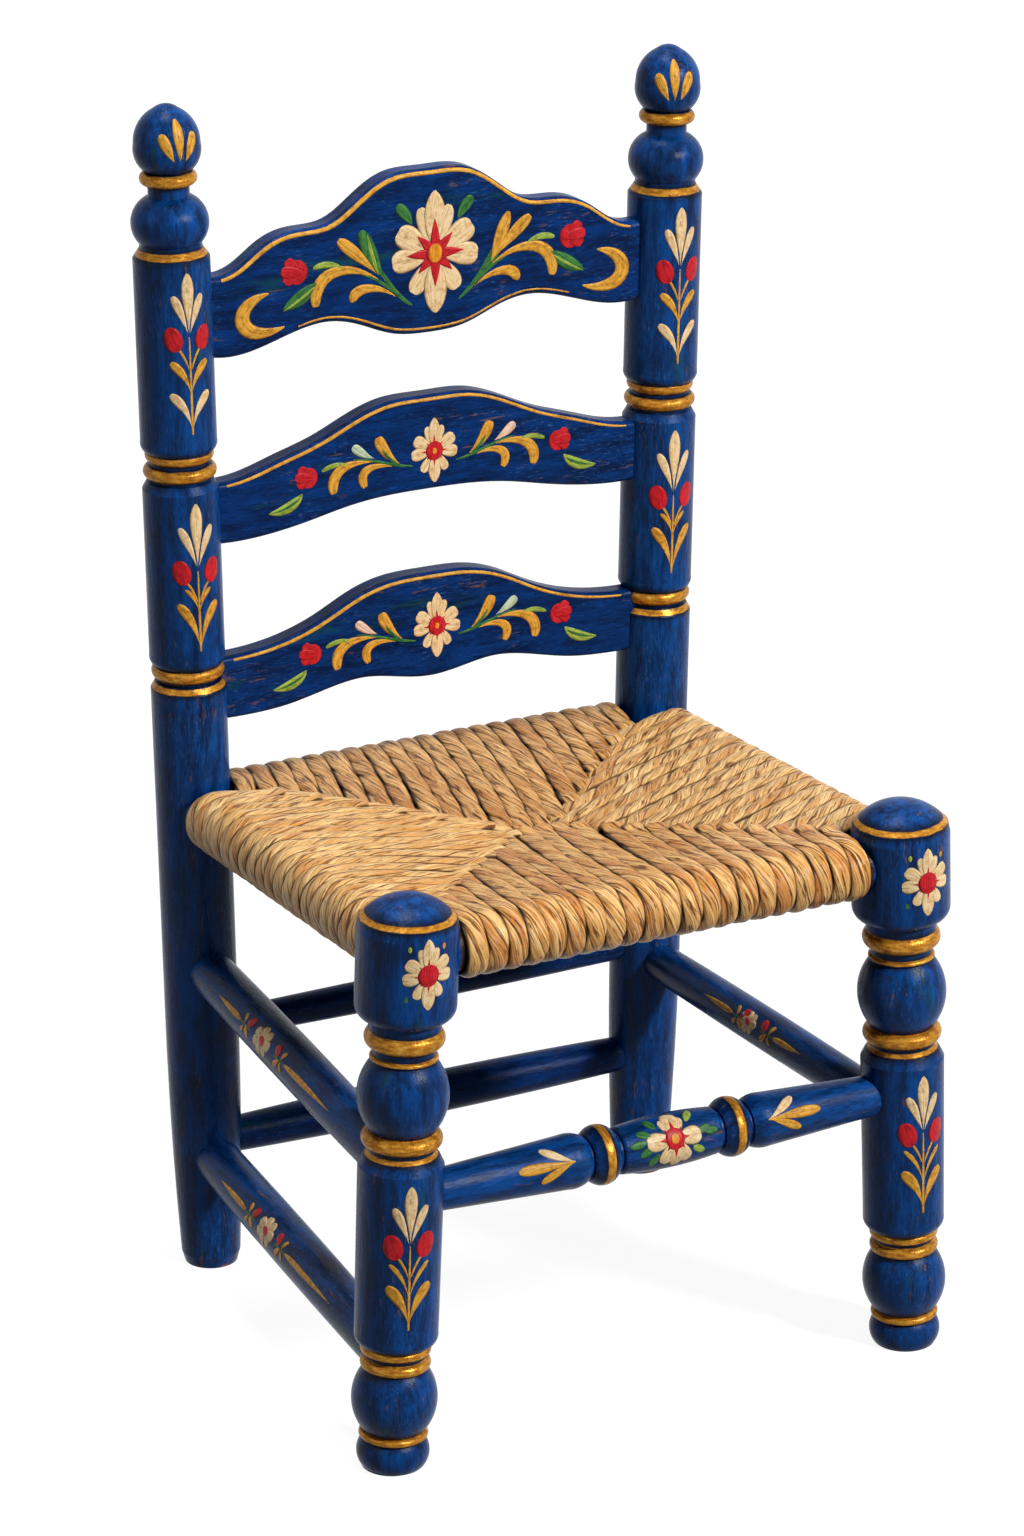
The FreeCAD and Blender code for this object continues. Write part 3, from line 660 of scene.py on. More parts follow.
# Rows of strokes, from the middle of the board's flower: colour, width, base, tip, layer, rows and points.
# The small spray has its bud after seven of them, and the large one before its last four.
small_inner = (
    ("green", 1.7, 0.4, 0.5, 1, 15, (12, -6.6), (24, -5.5), (34, 0.2), (47, 1.8)),
    ("gold", 6.4, 1.1, 0.34, 2, 19, (20, -4.2), (29, 1.5), (32.5, 11.8)),
    ("green", 1.8, 0.8, 0.8, 3, 15, (20, -5.0), (27, -1.0), (30, 5.0)),
    ("gold", 6.2, 1.0, 0.32, 2, 21, (35, -1.2), (49, 1.5), (61, -2.5), (57.5, -15.5)),
    ("gold", 5.2, 1.0, 0.32, 2, 21, (24, -5.2), (35, -1.6), (45.5, -4.5), (39.5, -14.5)),
    (None, 5.2, 1.25, 0.38, 2, 15, (34.5, 0.6), (41, 3.2), (46.8, 8.8)),
    ("lime", 2.8, 0.9, 0.5, 2, 15, (49, -0.6), (57, 1.6), (64.5, -2.2)),
)
small_outer = (
    ("lime", 6.0, 0.8, 0.9, 2, 15, (75.5, -12.5), (82, -21), (95, -20.5)),
    ("green", 1.3, 0.6, 0.8, 4, 15, (77, -14.5), (83, -19.5), (93, -20.4)),
)
large_stems = (
    ("green", 2.6, 0.45, 0.7, 1, 15, (13, -26), (24, -19), (31, -6), (35, 2)),
    ("green", 1.8, 0.5, 0.6, 1, 15, (15, -25.5), (26, -14), (36, -7), (47, -4)),
)
large_leaves = {
    -1: (("green", 8.0, 1.0, 0.5, 2, 19, (30, -9), (36, 2), (42.0, 17.0)),
         ("lime", 2.2, 1.0, 0.9, 3, 19, (32, -8), (35.5, 1), (38.5, 14.5))),
    1: (("gold", 7.0, 1.1, 0.6, 3, 19, (32, -9), (37, 4), (42.5, 17.0)),
        ("green", 5.0, 0.8, 0.9, 2, 19, (29, -12), (35, -4), (39, 6))),
}
large_inner = (
    ("gold", 6.8, 1.3, 0.45, 3, 19, (33, -7), (42, 3), (55.0, 13.5)),
    ("gold", 7.0, 1.0, 0.32, 2, 21, (32, -10), (48, 1.5), (70, 0.5), (67.5, -20.5)),
    ("gold", 6.0, 1.0, 0.32, 2, 21, (22, -20.5), (34, -10.5), (49, -13), (46, -20.0)),
    ("lime", 3.6, 0.9, 0.5, 2, 15, (52, -1.6), (60, 3.5), (69, 0.2)),
)
large_outer = (
    ("green", 7.8, 0.9, 0.8, 2, 19, (67, -7), (74, -14), (86, -19)),
    ("lime", 1.5, 0.6, 0.8, 4, 15, (68, -9), (75, -14.5), (86, -20)),
    ("gold", 8.4, 0.75, 0.75, 2, 23, (93, -9.5), (117, -12), (113, -37), (84.5, -27.5)),
    ("green", 6.2, 0.9, 0.45, 2, 15, (13, 16.5), (16, 22), (21.5, 27.5)),
)


def small_spray(art, x, z, side, tint):
    """Scrolls, leaves and a bud beside the flower of a narrow board, whose middle is at x and z."""
    draw_strokes(art, x, z, side, small_inner, tint)
    tulip(art, x + side * 72.5, z - 4.5, 12.5, side)
    draw_strokes(art, x, z, side, small_outer)


def large_spray(art, x, z, side):
    """Scrolls, leaves, a bud and a crescent beside the flower of the top board."""
    draw_strokes(art, x, z, side, large_stems + large_leaves[side] + large_inner)
    tulip(art, x + side * 78.5, z - 0.5, 14.5, side)
    draw_strokes(art, x, z, side, large_outer)


# Boards of the back
slat_edge_round = 3.0
edge_line_drop = -1.0


def edge_line(art, node, x_low, x_high, upper, width, drop):
    """A gold line just inside a board's top or bottom edge."""
    low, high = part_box(node)
    start = high.z + ray_reach if upper else low.z - ray_reach
    aim = -UP if upper else UP

    def path(share):
        x = x_low + (x_high - x_low) * share
        hit = art.tree.ray_cast(Vector((x * MM, (low.y + high.y) / 2, start)), aim)[0]
        return x, hit.z / MM + (-1 if upper else 1) * (slat_edge_round + drop)
    art.stroke("gold", path, width, 0.12, 0.2, 1, rows=90, columns=3)


def paint_slats():
    node = "top_slat"
    art = Painting(node, flat_place(node))
    edge_line(art, node, -119, 119, True, 2.1, edge_line_drop)
    edge_line(art, node, -76, 82, False, 1.3, 0.0)
    for side in (-1, 1):
        large_spray(art, 3.0, 538.5, side)
    flower(art, 3.0, 538.5, 33.0, "star")
    art.finish()
    for node, line_start, line_end, x, z, tints, size in (
            ("middle_slat", -118, 117, 2.0, 433.5, ("mint", "blush"), 17.8),
            ("lower_slat", -116, 115, 3.0, 338.0, ("blush", "mint"), 18.2)):
        art = Painting(node, flat_place(node))
        edge_line(art, node, line_start, line_end, True, 1.7, edge_line_drop)
        for side, tint in zip((-1, 1), tints):
            small_spray(art, x, z, side, tint)
        flower(art, x, z, size, "disc")
        art.finish()


def paint_uprights():
    for side, turn in (("left", -2.0), ("right", -16.0)):
        node = "rear_" + side + "_post"
        art = Painting(node, upright_place(node, post_radius))
        sprig(art, -0.6, (464.5, 516.5), (517.0, 549.0, 8.0), (9.0, 515.0, 4.8, 6.3),
              (("gold", 486.5, 10.3, 503.0, 4.8), ("cream", 468.0, 11.0, 486.5, 5.2)))
        sprig(art, -0.8, (349.5, 393.5), (394.5, 429.0, 9.0), (9.2, 392.5, 4.9, 6.5),
              (("gold", 371.0, 7.0, 383.5, 2.2), ("gold", 351.5, 11.2, 375.5, 5.4)))
        art.place = upright_place(node, finial_radius, turn)
        for across, base, tip in ((0.0, 604.7, 625.5), (-1.0, 604.7, 618.8), (1.0, 604.7, 618.8)):
            art.stroke("gold", [(3.0 * across, base), (9.6 * across, tip)], 5.9, 1.1, 0.5, 1)
        art.finish()
        node = "front_" + side + "_leg"
        art = Painting(node, upright_place(node, leg_radius))
        shift = -4.0 if side == "left" else -0.8
        sprig(art, shift, (80.5, 126.5), (126.5, 157.5, 8.5), (9.2, 125.5, 5.1, 6.6),
              (("gold", 98.0, 10.3, 116.5, 2.6), ("gold", 84.0, 11.5, 104.5, 6.2)))
        art.place = upright_place(node, head_radius)
        shift, level, squeeze = (0.3, 267.3, 0.95) if side == "left" else (-0.3, 264.0, 1.0)
        flower(art, shift, level, 18.4, "plain", squeeze)
        for across, up, colour in ((-9.5, 14.0, "lime"), (8.5, 13.5, "orange"), (-11.0, -11.5, "green")):
            art.dot(colour, shift + across, level + up, 1.0, 1.5)
        art.finish()


# Small tulips and leaves between a stretcher's flower and its long leaf, in the same rows
bud_strokes = (
    ("green", 1.0, 0.3, 0.5, 1, 15, (-6, 1.5), (8, 1.5)),
    ("red", 5.4, 0.6, 0.45, 2, 15, (-1, 2.5), (-6, 7.5)),
    ("orange", 3.6, 0.6, 0.45, 2, 15, (1, 1.0), (-4, -3.2)),
    ("gold", 2.8, 0.9, 0.45, 2, 15, (3, 2.0), (2, 5.0), (5, 7.0)),
    ("gold", 2.6, 0.9, 0.45, 2, 15, (3, 1.0), (2, -1.2), (6, -2.6)),
)


def side_motif(art, middle, near, far, size):
    """A flower between two long gold leaves on a side stretcher. near and far are the leaves' spans, and size
    is the flower's."""
    for number in range(7):
        degrees = 360 / 7 * number + 12
        start = turned_point(middle, 2.0, degrees, 1.0)
        end = turned_point(middle, 2.0, degrees, size, 1.25)
        art.stroke("cream", [start, end], 0.78 * size, 0.85, 0.42, 1 + number % 2)
    art.stroke("red", [(middle - 0.38 * size, 0.8), (middle + 0.38 * size, 3.4)], 0.5 * size, 0.5, 0.6, 4)
    for (start, end), side in ((near, -1), (far, 1)):
        art.stroke("gold", [(start, 1.8), (end, 2.2)], 3.3, 0.5, 1.1, 2, rows=25)
        draw_strokes(art, start - side * 7.0, 0.0, side, bud_strokes)


def paint_stretchers():
    facing = Vector((-1, 0, 0.3))
    for node, middle, near, far in (("left_upper_stretcher", 18.5, (-10, -66), (45, 76)),
                                    ("left_lower_stretcher", 16.5, (-10, -70), (43, 80))):
        art = Painting(node, bar_place(node, 1, side_stretcher_radius, facing))
        side_motif(art, middle, near, far, 7.8)
        art.finish()
    node = "right_side_stretcher"
    art = Painting(node, bar_place(node, 1, right_stretcher_radius, facing))
    side_motif(art, 6.0, (-19, -45), (21, 50), 6.2)
    art.finish()
    node = "front_stretcher"
    facing = Vector((0, -1, 0.35))
    art = Painting(node, bar_place(node, 0, front_stretcher_radius, facing))
    middle = front_pattern_shift - 0.5
    level = 1.5
    for x, up, degrees, size in ((-16, 5, -70, 8), (-20, 0.5, -95, 9), (-16, -4, -115, 8), (-11, 10, -35, 8),
                                 (-12, -9, -140, 8), (17, 2, 75, 8), (21, 0.5, 92, 8), (11, 11, 35, 9),
                                 (13, -7.5, 120, 8)):
        colour = "lime" if (x, up) in ((11, 11), (13, -7.5)) else "green"
        art.ray(colour, middle + x, level + up, degrees, -size * 0.5, size * 0.5, 4.4, 0.7, 0.6, 1)
    for degrees, reach, wide in ((0, 14.5, 9.5), (26, 12, 6), (-26, 12, 6), (90, 15, 9.5), (-90, 15.5, 9.5),
                                 (180, 14.5, 7.5), (150, 14.5, 7.5), (-148, 14, 8.0)):
        art.ray("cream", middle, level, degrees, 1.0, reach, wide, 0.85, 0.42, 2 + (degrees % 4 == 0),
                rows=17, columns=7)
    for degrees, reach in star_rays:
        art.ray("red", middle, level, degrees, 1.0, reach * 17, 2.4, 0.35, 1.0, 5)
    art.dot("red", middle, level, 5.3, 5.3, 6)
    art.dot("orange", middle, level, 2.4, 2.4, 8)
    for base, side in ((-52.5, -1), (56.5, 1)):
        art.stroke("gold", [(base, 1.0), (base + side * 9, 1.0)], 1.3, 0.2, 0.4, 1)
        for colour, across, up, wide in (("gold", 31, 0.2, 5.8), ("cream", 17, 9.5, 4.6),
                                         ("gold", 19, -8.0, 4.6)):
            bend = (base + side * across * 0.45, 1.0 + up * 0.25)
            leaf = [(base, 1.0), bend, (base + side * across, 1.0 + up)]
            art.stroke(colour, leaf, wide, 1.5, 0.5, 1, rows=19)
    art.finish()


# Woven seat
roll_middle_radius = 13.9 * MM
ring_spacing = 1.9 * MM
march_step = 1.0 * MM
over_past = 5.0 * MM
over_bend = 8.0 * MM
under_past = 9.0 * MM
under_bend = 3.0 * MM
plies = 3
ring_sides = 24
ridge_rise = 1.2 * MM
ridge_drop = 4.8 * MM
ridge_half = 9.4 * MM
strand_depth_below = 1.4 * MM
tip_rise = 1.5 * MM
tip_fall = 4.5 * MM
tip_sink = 6.5 * MM
roll_steps = 24
tip_over = 7.0 * MM
tip_under = 9.0 * MM
tail_length = 6.0 * MM
end_shade = 8.0 * MM
tip_least = 0.08
tip_power = 0.55
tail_least = 0.1
tail_power = 0.6
crease_wander = 0.2
crease_wave = 44 * MM
crease_power = 2.6
fibre_offset = 0.31
seam_strand_share = 0.8
seam_strand_tip = 12.0 * MM

# Unevenness along a strand: of its twist in radians and of its fullness, with rates per metre
twist_sway = 0.2
twist_sway_rate = 60
twist_ripple = 0.1
twist_ripple_rate = 131
swell = 0.04
swell_rate = 85
swell_range = 0.03

# For each panel: strands; lean along the rail per length inwards, at the rail for its low and high
# end, and at the tips for its low and high end; strand width per pitch; height above its middle;
# depth of the creases; length of one turn of the twist in millimetres; and whether the tips at
# the low seam, the high seam and the ridge lie over the neighbour
panel_looks = {
    "front": (21, (0.13, 0.15), (0.18, 0.22), 1.1, 2.5 * MM, 0.17, 78, (False, True, True)),
    "right": (18, (-0.22, -0.28), (-0.38, -0.34), 1.1, 2.3 * MM, 0.18, 62, (False, False, True)),
    "rear": (21, (0.12, 0.2), (0.2, 0.42), 1.07, 2.6 * MM, 0.19, 76, (True, False, False)),
    "left": (19, (0.05, 0.0), (0.3, 0.75), 1.12, 2.0 * MM, 0.16, 58, (True, True, True)),
}


def seat_corners():
    """Where the rails' axes meet at the four corners, anticlockwise from the front left, seen from above."""
    front_low, front_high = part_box("front_seat_rail")
    rear_low, rear_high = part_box("rear_seat_rail")
    left_low, left_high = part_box("left_seat_rail")
    radius = (front_high.z - front_low.z) / 2
    front_x = -left_low.x - radius
    rear_x = -left_high.x + radius
    front = (front_low + front_high) / 2
    rear = (rear_low + rear_high) / 2
    return [np.array(p) for p in ((-front_x, front.y, front.z), (front_x, front.y, front.z),
                                  (rear_x, rear.y, rear.z), (-rear_x, rear.y, rear.z))]


class Panel:
    """One side of the seat: a rail, and the seams and ridge opposite it."""

    def __init__(self, start, end, inner_start, inner_end):
        self.start = start
        self.length = float(np.linalg.norm(end - start))
        self.along = (end - start) / self.length
        self.inward = np.array((-self.along[1], self.along[0], 0.0))
        self.depth = float((inner_start - start) @ self.inward)
        self.low = float((inner_start - start) @ self.along)
        self.high = float((inner_end - start) @ self.along)
        self.ridge_z = float(inner_start[2])

    def seam(self, position, inwards):
        """Which seam a place has passed: 0 the low one, 1 the high one, 2 the ridge, or None."""
        share = inwards / self.depth
        if share >= 1:
            return 2
        if position <= self.low * share:
            return 0
        if position >= self.length - (self.length - self.high) * share:
            return 1
        return None

    def point(self, position, inwards, top):
        """A point of the weave's middle surface, above or below."""
        base = self.start + self.along * position + self.inward * inwards
        share = max(0.0, min(inwards / self.depth, 1.0))
        rail_z = self.start[2] + self.along[2] * position
        if top:
            base[2] = (1 - share) * (rail_z + roll_middle_radius) + share * (self.ridge_z + ridge_rise)
        else:
            base[2] = (1 - share) * (rail_z - roll_middle_radius) + share * (self.ridge_z - ridge_drop)
        return base


def seat_panels():
    corners = seat_corners()
    middle_y = (corners[0][1] + corners[2][1]) / 2
    middle_z = (corners[0][2] + corners[2][2]) / 2
    left = np.array((-ridge_half, middle_y, middle_z))
    right = np.array((ridge_half, middle_y, middle_z))
    return {
        "front": Panel(corners[0], corners[1], left, right),
        "right": Panel(corners[1], corners[2], right, right),
        "rear": Panel(corners[2], corners[3], right, left),
        "left": Panel(corners[3], corners[0], left, left),
    }


def spaced(points, spacing):
    """The same line with its points an even distance apart, and slightly smoothed."""
    points = np.array(points)
    for _ in range(2):
        points[1:-1] = (points[:-2] + 2 * points[1:-1] + points[2:]) / 4
    steps = np.linalg.norm(np.diff(points, axis=0), axis=1)
    travel = np.concatenate(([0.0], np.cumsum(steps)))
    wanted = np.linspace(0, travel[-1], max(8, int(travel[-1] / spacing)))
    return np.stack([np.interp(wanted, travel, points[:, i]) for i in range(3)], axis=1), wanted


def sheet_run(panel, position, lean_start, lean_tip):
    """Places inwards from the rail until a seam or the ridge stops the strand, and which one does."""
    likely = min(position, panel.length - position, panel.depth)
    run = [(position, 0.0)]
    inwards = 0.0
    stopped = None
    while stopped is None:
        share = min(inwards / likely, 1.0)
        position += march_step * (lean_start + (lean_tip - lean_start) * share)
        inwards += march_step
        run.append((position, inwards))
        stopped = panel.seam(position, inwards)
    return run, stopped


def strand_line(panel, position, lean_start, lean_tip, over):
    """A strand from its tip at a seam on top, out round the rail and back to a seam below."""
    run, stopped = sheet_run(panel, position, lean_start, lean_tip)
    on_top = over[stopped]
    past, bend = (over_past, over_bend) if on_top else (under_past, under_bend)
    drift = run[-1][0] - run[-2][0]
    for _ in range(int(past / march_step)):
        run.append((run[-1][0] + drift, run[-1][1] + march_step))
    reach = run[-1][1]
    points = []
    for place, inwards in reversed(run):
        point = panel.point(place, inwards, True)
        sink = max(0.0, inwards - (reach - past - bend)) / (past + bend)
        if on_top:
            point[2] += tip_rise * math.sin(min(sink * 1.25, 1.0) * math.pi) - tip_fall * max(0.0, sink - 0.6)
        else:
            point[2] -= tip_sink * sink ** 1.3
        points.append(point)
    rail = panel.start + panel.along * position
    for step in range(1, roll_steps):
        turn = math.pi * step / roll_steps
        points.append(rail - panel.inward * roll_middle_radius * math.sin(turn)
                      + np.array((0, 0, roll_middle_radius * math.cos(turn))))
    under, _ = sheet_run(panel, position, -lean_start, -lean_start)
    points += [panel.point(place, inwards, False) for place, inwards in under]
    return spaced(points, ring_spacing), on_top


class Weave:
    """Twisted strands of rush gathered into one piece."""

    def __init__(self, name, material):
        self.name = name
        self.material = material
        self.points = []
        self.faces = []
        self.fibre = []
        self.crease_shade = []
        self.shade = []
        self.total = 0
        self.draw = random.Random(name)

    def strand(self, line, travel, across, half_width, height, groove, turn, tip_length, shade):
        """One strand along a line: plies twisted round each other, flattened on to what they lie on."""
        ahead = np.gradient(line, axis=0)
        ahead /= np.linalg.norm(ahead, axis=1)[:, None]
        out = np.cross(ahead, across)
        out /= np.linalg.norm(out, axis=1)[:, None]
        side = np.cross(out, ahead)
        wave = self.draw.uniform(0, 2 * math.pi)
        turn *= self.draw.uniform(0.85, 1.2) * MM
        twist = (self.draw.uniform(0, 2 * math.pi) - 2 * math.pi * travel / turn
                 + twist_sway * np.sin(travel * twist_sway_rate + wave)
                 + twist_ripple * np.sin(travel * twist_ripple_rate + 2 * wave))
        left = travel[-1] - travel
        full = 1 + swell * np.sin(travel * swell_rate + wave) + self.draw.uniform(-swell_range, swell_range)
        full *= (np.clip(travel / tip_length, tip_least, 1.0) ** tip_power
                 * np.clip(left / tail_length, tail_least, 1.0) ** tail_power)
        steps = np.arange(ring_sides)
        each = ring_sides // plies
        from_middle = np.abs((steps / each) % 1.0 * 2 - 1)
        waves = [self.draw.uniform(0, 2 * math.pi) for _ in range(plies)]
        wander = np.stack([crease_wander * np.sin(2 * math.pi * travel / crease_wave + w)
                           + 0.4 * crease_wander * np.sin(2 * math.pi * travel / (0.43 * crease_wave) + 2 * w)
                           for w in waves], axis=1)
        share = (steps % each) / each
        here = wander[:, steps // each]
        beyond = wander[:, (steps // each + 1) % plies]
        angle = (twist[:, None] + 2 * math.pi * steps[None, :] / ring_sides
                 + here * (1 - share) + beyond * share)
        ply_width = 1 + (beyond - here) * 0.12
        lobe = (1 - groove * from_middle ** crease_power)[None, :]
        lobe = lobe * np.where(from_middle > 0.99, 1.0, ply_width)
        wide = half_width * full[:, None] * lobe * np.cos(angle)
        rise = np.sin(angle)
        high = full[:, None] * lobe * rise * np.where(rise > 0, height, strand_depth_below)
        shell = line[:, None, :] + side[:, None, :] * wide[..., None] + out[:, None, :] * high[..., None]
        rings = len(line)
        first = self.total
        self.total += rings * ring_sides
        self.points.append(shell.reshape(-1, 3))
        self.crease_shade.append(np.tile(from_middle, rings))
        # Painted shade: each strand darker towards both ends and on its sides and underside, where it meets
        # its neighbours.
        ends = np.clip(travel / end_shade, 0, 1) * np.clip(left / end_shade, 0, 1)
        outside = np.clip((rise - 0.36) / 0.3, 0, 1)
        self.shade.append((shade * (0.35 + 0.65 * ends)[:, None] * (0.1 + 0.9 * outside)).ravel())
        own = fibre_offset * len(self.points)
        step = 2 * math.pi * half_width / ring_sides
        for ring in range(rings - 1):
            low = first + ring * ring_sides
            for j in range(ring_sides):
                k = (j + 1) % ring_sides
                self.faces.append((low + j, low + k, low + ring_sides + k, low + ring_sides + j))
        ring, j = np.meshgrid(np.arange(rings - 1), steps, indexing="ij")
        corners = np.empty((rings - 1, ring_sides, 4, 3))
        ply_own = own + 0.43 * fibre_offset * (j // each)
        for corner, (ring_step, side_step) in enumerate(((0, 0), (0, 1), (1, 1), (1, 0))):
            corners[:, :, corner, 0] = ply_own + step * (j + side_step)
            corners[:, :, corner, 1] = ply_own
            corners[:, :, corner, 2] = travel[ring + ring_step]
        self.fibre.append(corners.reshape(-1, 3))
        for start, order in ((first, reversed(range(ring_sides))),
                             (first + (rings - 1) * ring_sides, range(ring_sides))):
            self.faces.append(tuple(start + j for j in order))
            self.fibre.append(np.full((ring_sides, 3), own))

    def finish(self):
        mesh = bpy.data.meshes.new(self.name)
        mesh.from_pydata(np.concatenate(self.points).tolist(), [], self.faces)
        fibre = mesh.attributes.new("fibre", "FLOAT_VECTOR", "CORNER")
        fibre.data.foreach_set("vector", np.concatenate(self.fibre).astype(np.float32).ravel())
        for name, values in (("crease_shade", self.crease_shade), ("shade", self.shade)):
            held = mesh.attributes.new(name, "FLOAT", "POINT")
            held.data.foreach_set("value", np.concatenate(values).astype(np.float32))
        add_soft_piece(mesh, self.name, self.material, "rush_seat")


def face_outwards(mesh):
    made = bmesh.new()
    made.from_mesh(mesh)
    bmesh.ops.recalc_face_normals(made, faces=made.faces)
    made.to_mesh(mesh)
    made.free()


def link(name, data):
    made = bpy.data.objects.new(name, data)
    bpy.context.scene.collection.objects.link(made)
    return made


def add_piece(mesh, name):
    piece = link(name, mesh)
    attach(piece, "root")
    return piece


def add_soft_piece(mesh, name, material, node):
    """Adds a soft piece with its material, and hides the CAD node it stands for."""
    mesh.materials.append(material)
    mesh.polygons.foreach_set("use_smooth", [True] * len(mesh.polygons))
    piece = add_piece(mesh, name)
    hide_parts(node)
    return piece


# How far the rolls of rush stay from the corners: at a leg's head and at a post
leg_gap = 26.2 * MM
post_gap = 20.8 * MM
left_post_gap = 23.5 * MM
# The left panel's rush is lighter and warmer than the others: painted light, lifting its roll, which the
# lamps leave in shade.
rushes = {
    "front": rush("front_rush", "#5c2a08", "#9c5a1e", "#cc8c40", "#f0c27c", "#be6c28"),
    "right": rush("right_rush", "#5e2e0a", "#985a1e", "#c8914a", "#e8c284", "#be7c38"),
    "rear": rush("rear_rush", "#4e2406", "#8a4e1a", "#c0833c", "#eab874", "#b46c28"),
    "left": rush("left_rush", "#6e3508", "#aa6420", "#dfa556", "#f8d292", "#d48a3a"),
}


def weave_seat(panels):
    gaps = {"front": (leg_gap, leg_gap), "right": (leg_gap, post_gap),
            "rear": (post_gap, post_gap), "left": (left_post_gap, leg_gap)}
    for name, panel in panels.items():
        count, rail_leans, tip_leans, fill, height, groove, turn, over = panel_looks[name]
        weave = Weave(name + "_weave", rushes[name])
        low, high = gaps[name]
        pitch = (panel.length - low - high) / count
        half_width = pitch * fill / 2
        for number in range(count):
            share = (number + 0.5) / count
            position = low + pitch * (number + 0.5 + weave.draw.uniform(-0.04, 0.04))
            lean_start, lean_tip = (leans[0] + (leans[1] - leans[0]) * share + weave.draw.uniform(-0.02, 0.02)
                                    for leans in (rail_leans, tip_leans))
            (line, travel), on_top = strand_line(panel, position, lean_start, lean_tip, over)
            weave.strand(line, travel, panel.along, half_width, height, groove, turn,
                         tip_over if on_top else tip_under, weave.draw.uniform(0.85, 1.0))
        if name == "left":
            edge_strand(panel, weave, half_width * seam_strand_share, height, groove, turn)
        weave.finish()


def edge_strand(panel, weave, half_width, height, groove, turn):
    """The strand that lies along the seam between the left and rear panels."""
    start_share = 0.2
    end_share = 1.01
    beside = 2.2 * MM
    lift = 2.0 * MM
    sunk = 1.0 * MM
    steps = 80
    end_steps = 8
    points = []
    for step in range(steps + 1):
        share = start_share + (end_share - start_share) * step / steps
        point = panel.point(panel.low * share + beside, panel.depth * share, True)
        point[2] += lift * min(1.0, step / end_steps, (steps - step) / end_steps) - sunk
        points.append(point)
    line, travel = spaced(points, ring_spacing)
    across = (panel.along * panel.depth - panel.inward * panel.low) / math.hypot(panel.depth, panel.low)
    weave.strand(line[::-1], travel, across, half_width, height, groove, turn, seam_strand_tip, 1.0)


def stuff_seat(panels):
    """A pad of straw under each panel, thickest near the rail and crowned towards the weave."""
    straw = stuffing_straw("stuffing_straw")
    clear = 2.6 * MM
    seam_gap = 1.5 * MM
    first_depth = 17.0 * MM
    ridge_clear = 3.0 * MM
    thinnest = 0.3 * MM
    rows = 14
    columns = 18
    for name, panel in panels.items():
        points = []
        faces = []
        for top in (True, False):
            for row in range(rows + 1):
                depth = first_depth + (panel.depth - ridge_clear - first_depth) * row / rows
                low = panel.low * depth / panel.depth + seam_gap
                high = panel.length - (panel.length - panel.high) * depth / panel.depth - seam_gap
                if high - low < 2 * seam_gap:
                    low = high = (low + high) / 2
                    low -= seam_gap / 2
                    high += seam_gap / 2
                for column in range(columns + 1):
                    position = low + (high - low) * column / columns
                    above = panel.point(position, depth, True)
                    below = panel.point(position, depth, False)
                    edge = min(row / 2, (rows - row) / 2, column / 2, (columns - column) / 2, 1.0)
                    middle = (above[2] + below[2]) / 2
                    half = max((above[2] - below[2]) / 2 - clear, thinnest) * (0.35 + 0.65 * edge ** 0.5)
                    above[2] = middle + half if top else middle - half
                    points.append(above)
        wide = columns + 1
        layer = wide * (rows + 1)
        for row in range(rows):
            for column in range(columns):
                a = row * wide + column
                faces.append((a, a + 1, a + wide + 1, a + wide))
                faces.append((layer + a, layer + a + wide, layer + a + wide + 1, layer + a + 1))
        rim = ([(0, c) for c in range(columns)] + [(r, columns) for r in range(rows)]
               + [(rows, c) for c in range(columns, 0, -1)] + [(r, 0) for r in range(rows, 0, -1)])
        rim = [r * wide + c for r, c in rim]
        for a, b in zip(rim, rim[1:] + rim[:1]):
            faces.append((a, layer + a, layer + b, b))
        mesh = bpy.data.meshes.new(name + "_pad")
        mesh.from_pydata([tuple(p) for p in points], [], faces)
        face_outwards(mesh)
        piece = add_soft_piece(mesh, name + "_pad", straw, name + "_stuffing")


# Camera, floor and light
camera_place = (-1.1982, -2.27235, 1.2555)
camera_pitch = 20.415
camera_azimuth = -27.477
camera_lens = 126.97
sensor_width = 36.0
view_reach = 50.0
white = (1, 1, 1, 1)

floor_half = 6.0
floor_grey = (0.14, 0.14, 0.14, 1)
floor_white_near = 0.92
floor_white_rise = 0.08
floor_rise_from = 0.4
floor_rise_to = 1.2

# Light from all round, stronger from one side, as strengths
soft_light_side = (0.55, 0.83, 0.0)
soft_light_edge = 0.1
soft_light_low = 0.04
soft_light_high = 1.0

# Lamps: place, width, height and power in watts
lamp_target = (0, 0, 0.3)
lamps = {
    "key": ((1.25, -2.35, 2.0), 0.3, 0.5, 104),
    "sheen": ((-2.3, -0.3, 1.5), 0.12, 1.7, 5),
    "top": ((-0.2, 0.1, 2.9), 0.4, 0.4, 36),
}


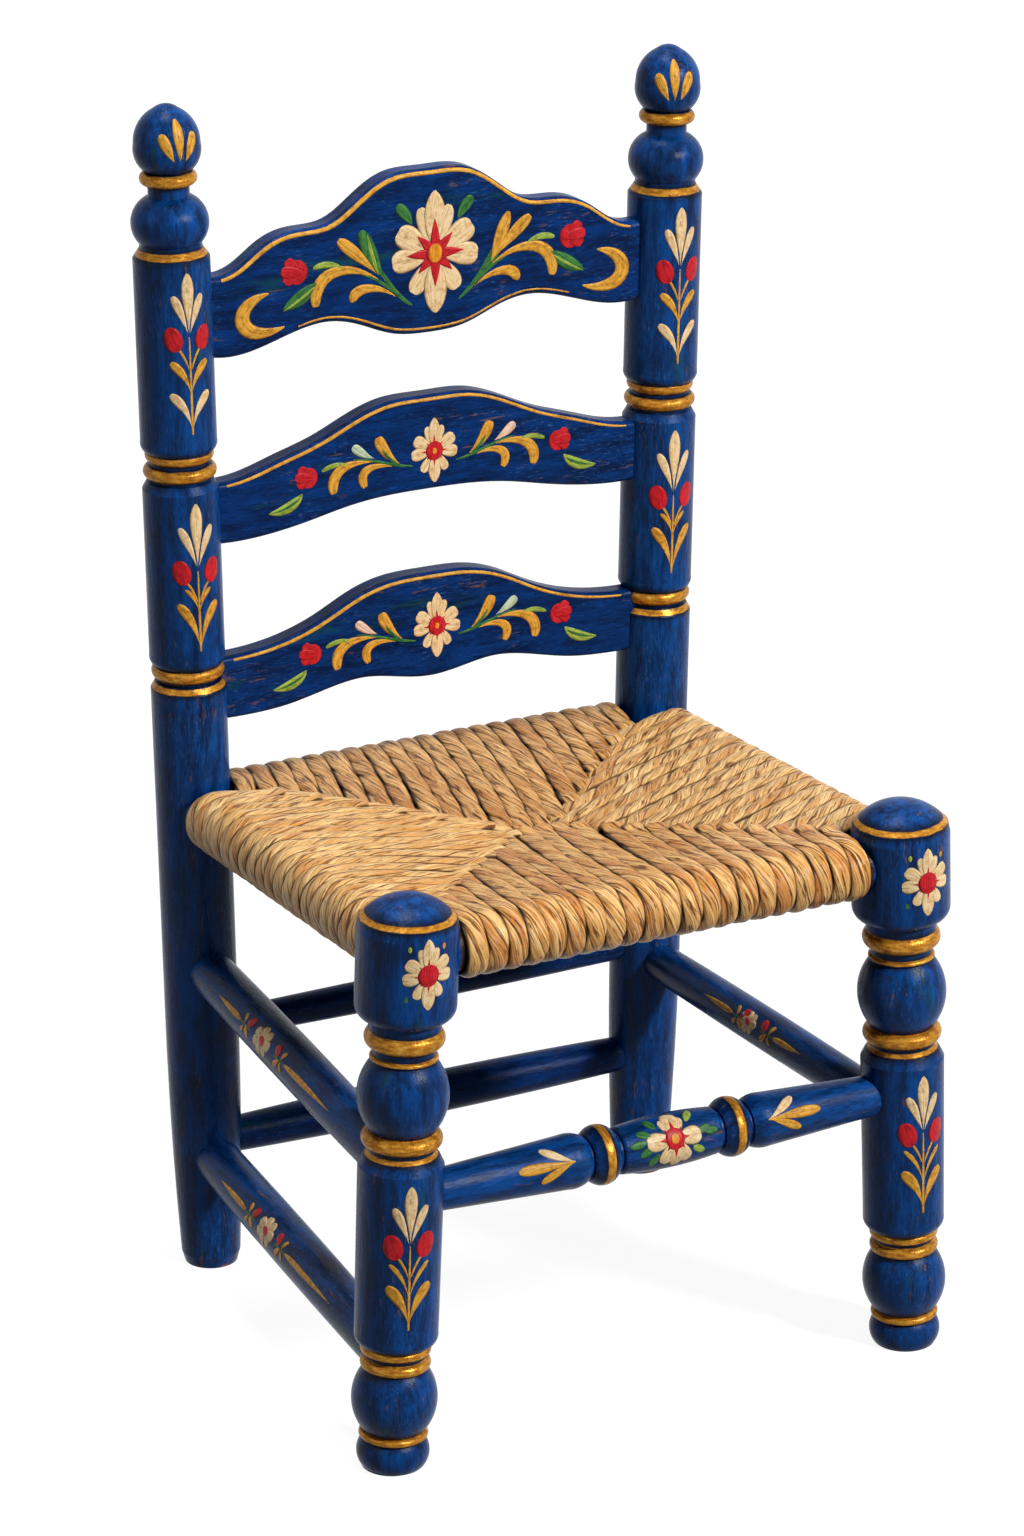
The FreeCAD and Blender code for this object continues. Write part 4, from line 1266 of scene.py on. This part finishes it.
def set_camera():
    data = bpy.data.cameras.new("camera")
    data.sensor_width = sensor_width
    data.lens = camera_lens
    data.clip_end = view_reach
    camera = link("camera", data)
    camera.location = camera_place
    camera.rotation_euler = (math.radians(90 - camera_pitch), 0, math.radians(camera_azimuth))
    bpy.context.scene.camera = camera


def set_floor():
    mesh = bpy.data.meshes.new("floor")
    corners = [(x * floor_half, y * floor_half, 0) for x, y in ((-1, -1), (1, -1), (1, 1), (-1, 1))]
    mesh.from_pydata(corners, [], [(0, 1, 2, 3)])
    shader = Shader("floor", 0.9, 0.0)
    shader.surface.inputs["Base Color"].default_value = floor_grey
    shader.surface.inputs["Emission Color"].default_value = white
    away = shader.vector("LENGTH", shader.place())
    rising = shader.rise(away, floor_rise_from, floor_rise_to, floor_white_rise)
    seen = shader.plus(rising, floor_white_near)
    shader.feed(shader.surface.inputs["Emission Strength"], shader.white_to_camera(0.0, seen))
    mesh.materials.append(shader.material)
    floor = link("floor", mesh)


def add_lamp(name, place, wide, high, power):
    data = bpy.data.lights.new(name, "AREA")
    data.shape = "RECTANGLE"
    data.size = wide
    data.size_y = high
    data.energy = power
    lamp = link(name, data)
    lamp.location = place
    lamp.rotation_euler = (Vector(lamp_target) - Vector(place)).to_track_quat("-Z", "Y").to_euler()


def set_light():
    world = bpy.data.worlds.new("world")
    world.use_nodes = True
    background = world.node_tree.nodes["Background"]
    background.inputs["Color"].default_value = white
    tree = Tree(world.node_tree)
    towards = tree.node("ShaderNodeTexCoord").outputs["Generated"]
    facing = tree.vector("DOT_PRODUCT", towards, soft_light_side)
    soft = tree.span(facing, soft_light_edge, 1.0, soft_light_low, soft_light_high)
    tree.feed(background.inputs["Strength"], tree.white_to_camera(soft, 1.0))
    bpy.context.scene.world = world
    for name, (place, wide, high, power) in lamps.items():
        add_lamp(name, place, wide, high, power)


paint_frame()
paint_slats()
paint_uprights()
paint_stretchers()
seat = seat_panels()
weave_seat(seat)
stuff_seat(seat)
set_camera()
set_floor()
set_light()
bpy.context.scene.view_settings.view_transform = "Standard"
